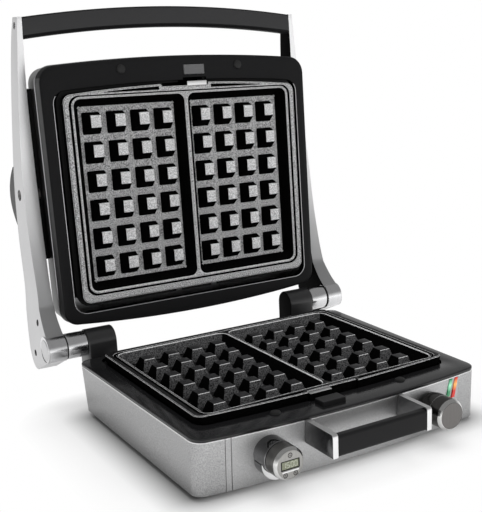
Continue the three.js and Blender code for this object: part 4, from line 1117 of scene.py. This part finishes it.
# The pads on the arms' backs, which the open lid rests on, bulge in the middle.
def restPads():
    s = padSizes
    middle, reach, edge = (s["low"] + s["high"]) / 2, (s["high"] - s["low"]) / 2, s["edge"]
    for side, word in sides:
        outlines = []
        ends = ((s["inner"], edge), (s["inner"] + edge, 0), (s["outer"] - edge, 0), (s["outer"], edge))
        for x, shrink in ends:
            heights = steps(s["low"] + shrink, s["high"] - shrink, 30)
            out = [(s["bulge"] - shrink) * max(1 - ((z - middle) / reach) ** 2, 0) for z in heights]
            bulge = [(backOfArm(z) + s["foot"] + far, z) for far, z in zip(out, heights)]
            flat = [(backOfArm(z) + s["back"], z) for z in reversed(heights)]
            outlines.append((bulge + flat, side * x))
        pad = solid(f"backPad{word.title()}", levels(outlines, alongX))
        settle(pad, "lid", "bandGrey", "band_grey", f"rest_pad_{word}")


handleBar()
restPads()

hingeSizes = {
    "radius": 13.3, "inner": 100, "outer": 128.5, "shelf": -16, "foot": -34, "lug": 0.3, "bevel": 1.4,
    "hingeSleeve": ((128.8, 11.7), (129.1, 12.35), (129.5, 12.5), (147.6, 12.5), (148.0, 12.3),
                    (148.3, 11.6)),
    "armBarrel": ((149.42, 12.2), (149.6, 12.9), (150.0, 13.34), (166.6, 13.34), (167.4, 13.1)),
    "barrelSeal": ((148.5, 12.3), (149.5, 12.3)),
}


def hinges():
    s = hingeSizes
    radius, lug = s["radius"], basePlan["rear"] + s["lug"]
    outline = arcPoints(0, 0, radius, 0, 180, 40)
    outline += [(-radius, s["shelf"]), (lug, s["shelf"]), (lug, s["foot"]), (radius, s["foot"])]
    for side, word in sides:
        rows = block(alongX, outline, side * s["inner"], side * s["outer"])
        post = solid(f"hingePost{word.title()}Cast", rows)
        addBevel(post, s["bevel"], 4, 25)
        settle(bake(post), "base", "hingeSatin", "satin_black", f"hinge_post_{word}")
        # Painted shade: the post's inward end faces take the near-black shade finish.
        paintFaces(post, "deepBlack", lambda face: face.normal.x * side < -0.8)
        sleeve, barrel, seal = (solid(name + word.title(), hingeRing(side, s[name]))
                                for name in ("hingeSleeve", "armBarrel", "barrelSeal"))
        settle(sleeve, "base", "polishedChrome", "bright_chrome", f"hinge_collar_{word}")
        settle(barrel, "lid", "polishedChrome", "bright_chrome")
        # Painted shadow: a black ring fills the gap between the collar and the barrel.
        settle(seal, "lid", "rubberBlack", "rubber")


hinges()
print("hinges made")

gripSizes = {
    "half": 43.2, "gap": 0.3, "bracket": 5.0, "top": -10.2, "bottom": -30.0, "radius": 2.6, "bevel": 0.45,
    "deep": 9, "front": basePlan["front"] - 38.0, "back": basePlan["front"] + 0.6,
}


def frontHandle():
    s = gripSizes
    front, back, top, bottom, radius = (s[key] for key in ("front", "back", "top", "bottom", "radius"))
    outline = [(back + 1.0, bottom), (back, top)]
    outline += arcPoints(front + radius, top - radius, radius, 90, 180, 8) + [(front, bottom)]
    inner = s["half"] + s["gap"]
    for side, word in sides:
        rows = block(alongX, outline, side * inner, side * (inner + s["bracket"]))
        plate = solid(f"handleBracket{word.title()}", rows)
        addBevel(plate, s["bevel"], 3, 40)
        settle(plate, "base", "bracketChrome", "bright_chrome", f"handle_bracket_{word}")
        # Painted highlight: the bracket's edges take a bright finish against its dark chrome sides.
        paintFaces(plate, "edgeSatin", lambda face: abs(face.normal.x) < 0.5)
    section = roundRect(front + 0.3, front + s["deep"], bottom + 0.2, top - 2, radius, 5)
    grip = solid("handleGripBar", block(alongX, section, -s["half"], s["half"]))
    settle(grip, "base", "gripSatin", "satin_black", "front_grip")


frontHandle()

knobSizes = {"x": 80.0, "z": -29.4, "radius": 13.75, "deep": 28, "line": 13.3}
knobFront = nodeBox("thermostat_knob")[0].y
timerFront = nodeBox("timer_case")[0].y
dockLow, dockHigh = nodeBox("timer_dock")


# A piece turned about a line from front to back: its profile is (y, radius).
def turnedSolid(name, x, z, profile, sharp=25, count=96):
    return solid(name, turned(alongY, (x, z), profile, count), onBase, sharp)


def inFrontOf(y, face):
    return (face.center.y - hinge.y) / mm < y


# Painted highlight: the front chamfer takes the bright rim finish.
def paintChamferHighlight(piece, limit):
    paintFaces(piece, "rimBright", lambda face: inFrontOf(limit, face) and -0.97 < face.normal.y < -0.12)


def thermostatKnob():
    s = knobSizes
    x, z, r, front = s["x"], s["z"], s["radius"], knobFront
    back = front + s["deep"]
    line = back - s["line"]
    barrel = [(back, 8.0), (back, r - 1.4), (back - 0.5, r - 0.9), (back - 4.2, r - 0.9),
              (back - 4.4, r - 0.25), (back - 4.9, r), (front + 3.2, r), (front + 2.3, r - 0.25),
              (front + 0.5, r - 1.7), (front + 0.1, r - 2.2)]
    knob = turnedSolid("heatKnob", x, z, barrel)
    settle(knob, "knob", "knobSteel", "dark_steel", "thermostat_knob")
    paintChamferHighlight(knob, front + 3)
    ring = [(line, r - 0.3), (line - 0.1, r + 0.06), (line - 0.5, r + 0.06), (line - 0.6, r - 0.3)]
    settle(turnedSolid("heatKnobLine", x, z, ring, 35), "knob", "rimBright", "dark_steel")
    face = [(front + 0.25, r - 2.25), (front, r - 2.7), (front, 0)]
    settle(turnedSolid("heatKnobFace", x, z, face), "knob", "knobFace", "dark_steel")


thermostatKnob()

timerSizes = {
    "x": -knobSizes["x"], "z": knobSizes["z"], "radius": knobSizes["radius"] - 0.25, "deep": 15.0,
    "windowHalf": 7.9, "windowLow": -3.4, "windowHigh": 3.6, "frameGrow": (0.4, 0.4),
    "frameHole": (-0.5, -0.4), "strip": (-7.4, 7.4, -5.6, -4.4), "digits": "1500",
    "digitX": (-5.1, -1.8, 1.8, 5.1), "digitZ": 0.1, "digitTall": 4.2,
    "keys": {"top": (0, 7.8), "left": (-4.5, -7.8), "right": (4.5, -7.8)},
    "keyCap": ((2.2, 2.2), (0.1, 2.2), (-0.2, 1.9), (-0.2, 1.35), (0.1, 1.2), (0.1, 0.6), (-0.3, 0.45),
               (-0.45, 0)),
    "dockX": -79.0, "dockZ": -34.8, "dockRadius": 14.5, "lipDeep": 1.2, "dockGap": 0.3,
}
digitParts = {"0": "abcdef", "1": "bc", "5": "afgcd"}


# The lit bars of a digit, each from x to x and from z to z about the digit's centre.
def digitBars(tall, digit):
    wide, thick = tall * 0.5, tall * 0.13
    places = {"a": (0, 2), "g": (0, 0), "d": (0, -2), "f": (-1, 1), "b": (1, 1), "e": (-1, -1), "c": (1, -1)}
    bars = []
    for part in digitParts[digit]:
        across, up = places[part]
        flat = across == 0
        x, z = across * wide / 2, up * tall / 4
        halfX = wide / 2 - thick * 0.3 if flat else thick / 2
        halfZ = thick / 2 if flat else tall / 4 - thick * 0.4
        bars.append((x - halfX, x + halfX, z - halfZ, z + halfZ))
    return bars


# A block behind the timer's window, wider and taller by grow; depths are from the timer's front.
def windowBlock(name, grow, radius, near, far):
    s = timerSizes
    x, z, half = s["x"], s["z"], s["windowHalf"] + grow[0]
    shape = roundRect(x - half, x + half, z + s["windowLow"] - grow[1], z + s["windowHigh"] + grow[1], radius)
    return solid(name, block(alongY, shape, timerFront + near, timerFront + far))


def timerDigits():
    s = timerSizes
    mesh = bmesh.new()
    for digit, shift in zip(s["digits"], s["digitX"]):
        for x0, x1, z0, z1 in digitBars(s["digitTall"], digit):
            x, z = s["x"] + shift, s["z"] + s["digitZ"]
            bar = rectangle(x + x0, x + x1, z + z0, z + z1)
            addSolid(mesh, block(alongY, bar, timerFront + 0.25, timerFront + 0.45))
    settle(finishMesh("timerDigits", mesh, onBase), "timer", "displayDigit", "display")


def timerUnit():
    s = timerSizes
    x, z, r, front = s["x"], s["z"], s["radius"], timerFront
    back = front + s["deep"]
    barrel = [(back, r - 1.2), (back - 0.3, r - 0.5), (back - 1.0, r - 0.4), (back - 1.2, r),
              (front + 3.0, r), (front + 2.2, r - 0.2), (front + 0.35, r - 1.5),
              (front + 0.05, r - 2.0), (front + 1.4, r - 2.2)]
    case = turnedSolid("timerCaseBody", x, z, barrel)
    settle(case, "timer", "timerSteel", "dark_steel", "timer_case")
    paintChamferHighlight(case, front + 3)
    face = [(front + 0.9, r - 2.05), (front + 0.2, r - 2.05), (front, r - 2.5), (front, 0)]
    plate = turnedSolid("timerFacePlate", x, z, face)
    combine(plate, windowBlock("hole", s["frameGrow"], 0.5, -3, 3.8))
    settle(plate, "timer", "timerFace", "dark_steel")
    settle(windowBlock("timerGlass", (0, 0), 0.3, 0.35, 3), "timer", "displayGreen", "display",
           "timer_window")
    rim = windowBlock("timerGlassFrame", s["frameGrow"], 0.5, 0.1, 1.2)
    combine(rim, windowBlock("hole", s["frameHole"], 0.3, -2, 4))
    settle(rim, "timer", "frameSatin", "satin_black")
    timerDigits()
    x0, x1, z0, z1 = s["strip"]
    strip = roundRect(x + x0, x + x1, z + z0, z + z1, 0.5)
    strip = solid("timerStrip", block(alongY, strip, front - 0.25, front + 0.2))
    settle(strip, "timer", "edgeSatin", "dark_steel")
    cap = [(front + y, radius) for y, radius in s["keyCap"]]
    for word, (dx, dz) in s["keys"].items():
        key = turnedSolid(f"timer_button_{word}_cap", x + dx, z + dz, cap, count=32)
        settle(key, f"timer_key_{word}", "knobSteel", "satin_black", f"timer_button_{word}")


def timerDock():
    s = timerSizes
    r, wide, back, front = knobSizes["radius"], s["dockRadius"], dockHigh.y, dockLow.y
    neckFront, lip = timerFront + s["deep"] + s["dockGap"], front + s["lipDeep"]
    neck = [(back, r - 0.1), (neckFront + 0.6, r - 0.1), (neckFront, r - 0.6), (neckFront, 0)]
    body = turnedSolid("timerNeck", s["x"], s["z"], neck, 30)
    settle(body, "base", "bracketChrome", "bright_chrome")
    ring = [(back, wide - 0.4), (lip, wide - 0.4), (lip - 0.3, wide), (front + 0.5, wide),
            (front, wide - 0.5), (front, 0)]
    dock = turnedSolid("timerDockCradle", s["dockX"], s["dockZ"], ring, 30)
    combine(dock, turnedSolid("hole", s["x"], s["z"], [(back + 3, r + 0.25), (front - 3, r + 0.25)], 35))
    settle(dock, "base", "bracketChrome", "bright_chrome", "timer_dock")
    paintFaces(dock, "edgeSatin", lambda face: inFrontOf(lip, face))


timerUnit()
timerDock()
print("knob and timer made")

carried = {  # these stay as the frame has them, with a finish of their own
    # The heat trays take a near-black metal, painted shade.
    "darkPan": ("lower_heat_tray", "upper_heat_tray"),
    "heaterSteel": ("lower_heating_element", "upper_heating_element", "hinge_pin_left", "hinge_pin_right",
                    "pivot_bolt_left", "pivot_bolt_right"),
    "frameSatin": ("bottom_cover", "cord_inlet", "thermostat"),
    # The arm liners are black, darkened further with the painted-shade finish.
    "deepBlack": ("arm_liner_left", "arm_liner_right"),
    "rubberBlack": ("foot_rear_left", "foot_rear_right", "foot_front_left", "foot_front_right"),
}
for finish, names in carried.items():
    for slot in (slot for name in names for slot in frame["nodes"][name].material_slots):
        slot.material = finishes[finish]

# The floor is white to the eye and fades to its lit shade near the object, where its colour also darkens into
# a painted shadow; distances are in metres from the box given.
stageSizes = {
    "floor": 8.0, "floorColor": (0.90, 0.90, 0.90), "paintedShadowColor": (0.26, 0.26, 0.26), "paintedShadowTo": 0.035,
    "centre": (0, -0.036, 0), "half": (0.136, 0.100, 0), "fadeFrom": 0.004, "fadeTo": 0.075, "mirrorTo": 0.24,
    "frontGlow": 0.5, "glowFrom": -0.5, "glowTo": 0.2, "worldLevel": 0.40, "skyLow": 0.04, "skyHigh": 0.40,
    "skyTop": 0.30,
}


def isRay(tree, *kinds):
    path = addNode(tree, "ShaderNodeLightPath").outputs
    if len(kinds) == 1:
        return path[kinds[0]]
    return maths(tree, "MAXIMUM", *(path[kind] for kind in kinds))


def studioFloor():
    s = stageSizes
    bpy.ops.mesh.primitive_plane_add(size=s["floor"], location=(0, 0, 0))
    floor = bpy.context.object
    floor.name = "floor"
    material, tree, shader = nodeMaterial("floorWhite")
    place = far = coordinate(tree)
    for operation, *amount in (("SUBTRACT", s["centre"]), ("ABSOLUTE",), ("SUBTRACT", s["half"]),
                               ("MAXIMUM", (0, 0, 0)), ("LENGTH",)):  # how far outside the box
        result = "Value" if operation == "LENGTH" else "Vector"
        far = maths(tree, operation, far, *amount, kind="ShaderNodeVectorMath", result=result)
    # Painted shadow: the floor's colour darkens toward the object's box.
    tone = spread(tree, far, 0, 1, 0.0, s["paintedShadowTo"])
    shown = blendColor(tree, tone, s["paintedShadowColor"], s["floorColor"])
    give(tree, shader, {"Base Color": shown, "Roughness": 0.9})
    away, mirrored = (spread(tree, far, 0, 1, s["fadeFrom"], s[key]) for key in ("fadeTo", "mirrorTo"))
    seen = maths(tree, "MULTIPLY", away, isRay(tree, "Is Camera Ray", "Is Transmission Ray"))
    share = maths(tree, "MULTIPLY_ADD", mirrored, isRay(tree, "Is Glossy Ray"), seen)
    ahead = spread(tree, axisOf(tree, place, "Y"), s["frontGlow"], 0.0, s["glowFrom"], s["glowTo"])
    strength = maths(tree, "MULTIPLY_ADD", ahead, isRay(tree, "Is Glossy Ray"), 1.0)
    white = addNode(tree, "ShaderNodeEmission", {"Strength": strength})
    mixed = mixShaders(tree, share, shader.outputs[0], white.outputs[0])
    give(tree, tree.nodes["Material Output"], {"Surface": mixed})
    floor.data.materials.append(material)


def studioWorld():
    s = stageSizes
    world = bpy.data.worlds.new("studio")
    bpy.context.scene.world = world
    world.use_nodes = True
    tree = world.node_tree
    height = axisOf(tree, coordinate(tree, "Generated"), "Z")
    mirrored = spread(tree, height, 1.0, s["skyTop"], s["skyLow"], s["skyHigh"])
    lights = ({"Color": (1, 1, 1), "Strength": strength} for strength in (s["worldLevel"], mirrored, 1.0))
    soft, sky, white = (addNode(tree, "ShaderNodeBackground", light).outputs[0] for light in lights)
    lit = mixShaders(tree, isRay(tree, "Is Glossy Ray"), soft, sky)
    shown = mixShaders(tree, isRay(tree, "Is Camera Ray", "Is Transmission Ray"), lit, white)
    give(tree, tree.nodes["World Output"], {"Surface": shown})


# Lamps, in metres: place, target, size and power. None shows in what is polished.
lamps = {
    "keyLamp": ((1.3, -1.7, 0.7), (0, 0, 0.12), (1.4, 1.1), 20),
    "sideLamp": ((-1.7, -0.2, 0.8), (0, 0, 0.12), (0.6, 1.0), 2),
    "topLamp": ((0.1, 0.2, 1.9), (0, 0, 0), (1.6, 1.6), 26),
}


def areaLamp(name, place, target, size, power):
    lamp = bpy.data.lights.new(name, "AREA")
    lamp.shape = "RECTANGLE"
    lamp.size, lamp.size_y = size
    lamp.energy = power
    holder = addObject(name, lamp)
    holder.location = place
    holder.visible_glossy = False
    holder.rotation_euler = (Vector(target) - Vector(place)).to_track_quat("-Z", "Y").to_euler()


cameraSizes = {
    "place": (-417.8, -859.1, 276.8), "azimuth": -32.816, "elevation": 15.201, "roll": -1.556, "sensor": 36,
    "lens": 66.618984375, "shiftX": -0.13912109375, "shiftY": 0.0838671875, "clipEnd": 20,
}


def makeCamera():
    s = cameraSizes
    azimuth, elevation, roll = (math.radians(s[key]) for key in ("azimuth", "elevation", "roll"))
    back = Vector((math.sin(azimuth) * math.cos(elevation), -math.cos(azimuth) * math.cos(elevation),
                   math.sin(elevation)))
    right = (-back).cross(Vector((0, 0, 1))).normalized()
    up = right.cross(-back)
    right, up = right * math.cos(roll) + up * math.sin(roll), up * math.cos(roll) - right * math.sin(roll)
    data = bpy.data.cameras.new("camera")
    data.sensor_fit = "AUTO"
    data.sensor_width, data.lens = s["sensor"], s["lens"]
    data.shift_x, data.shift_y = s["shiftX"], s["shiftY"]
    data.clip_end = s["clipEnd"]
    camera = addObject("camera", data)
    camera.matrix_world = Matrix((right, up, back)).transposed().to_4x4()
    camera.location = onBase(s["place"])
    bpy.context.scene.camera = camera


studioFloor()
studioWorld()
for name, lamp in lamps.items():
    areaLamp(name, *lamp)
makeCamera()
bpy.context.scene.view_settings.view_transform = "Standard"
print("stage set")
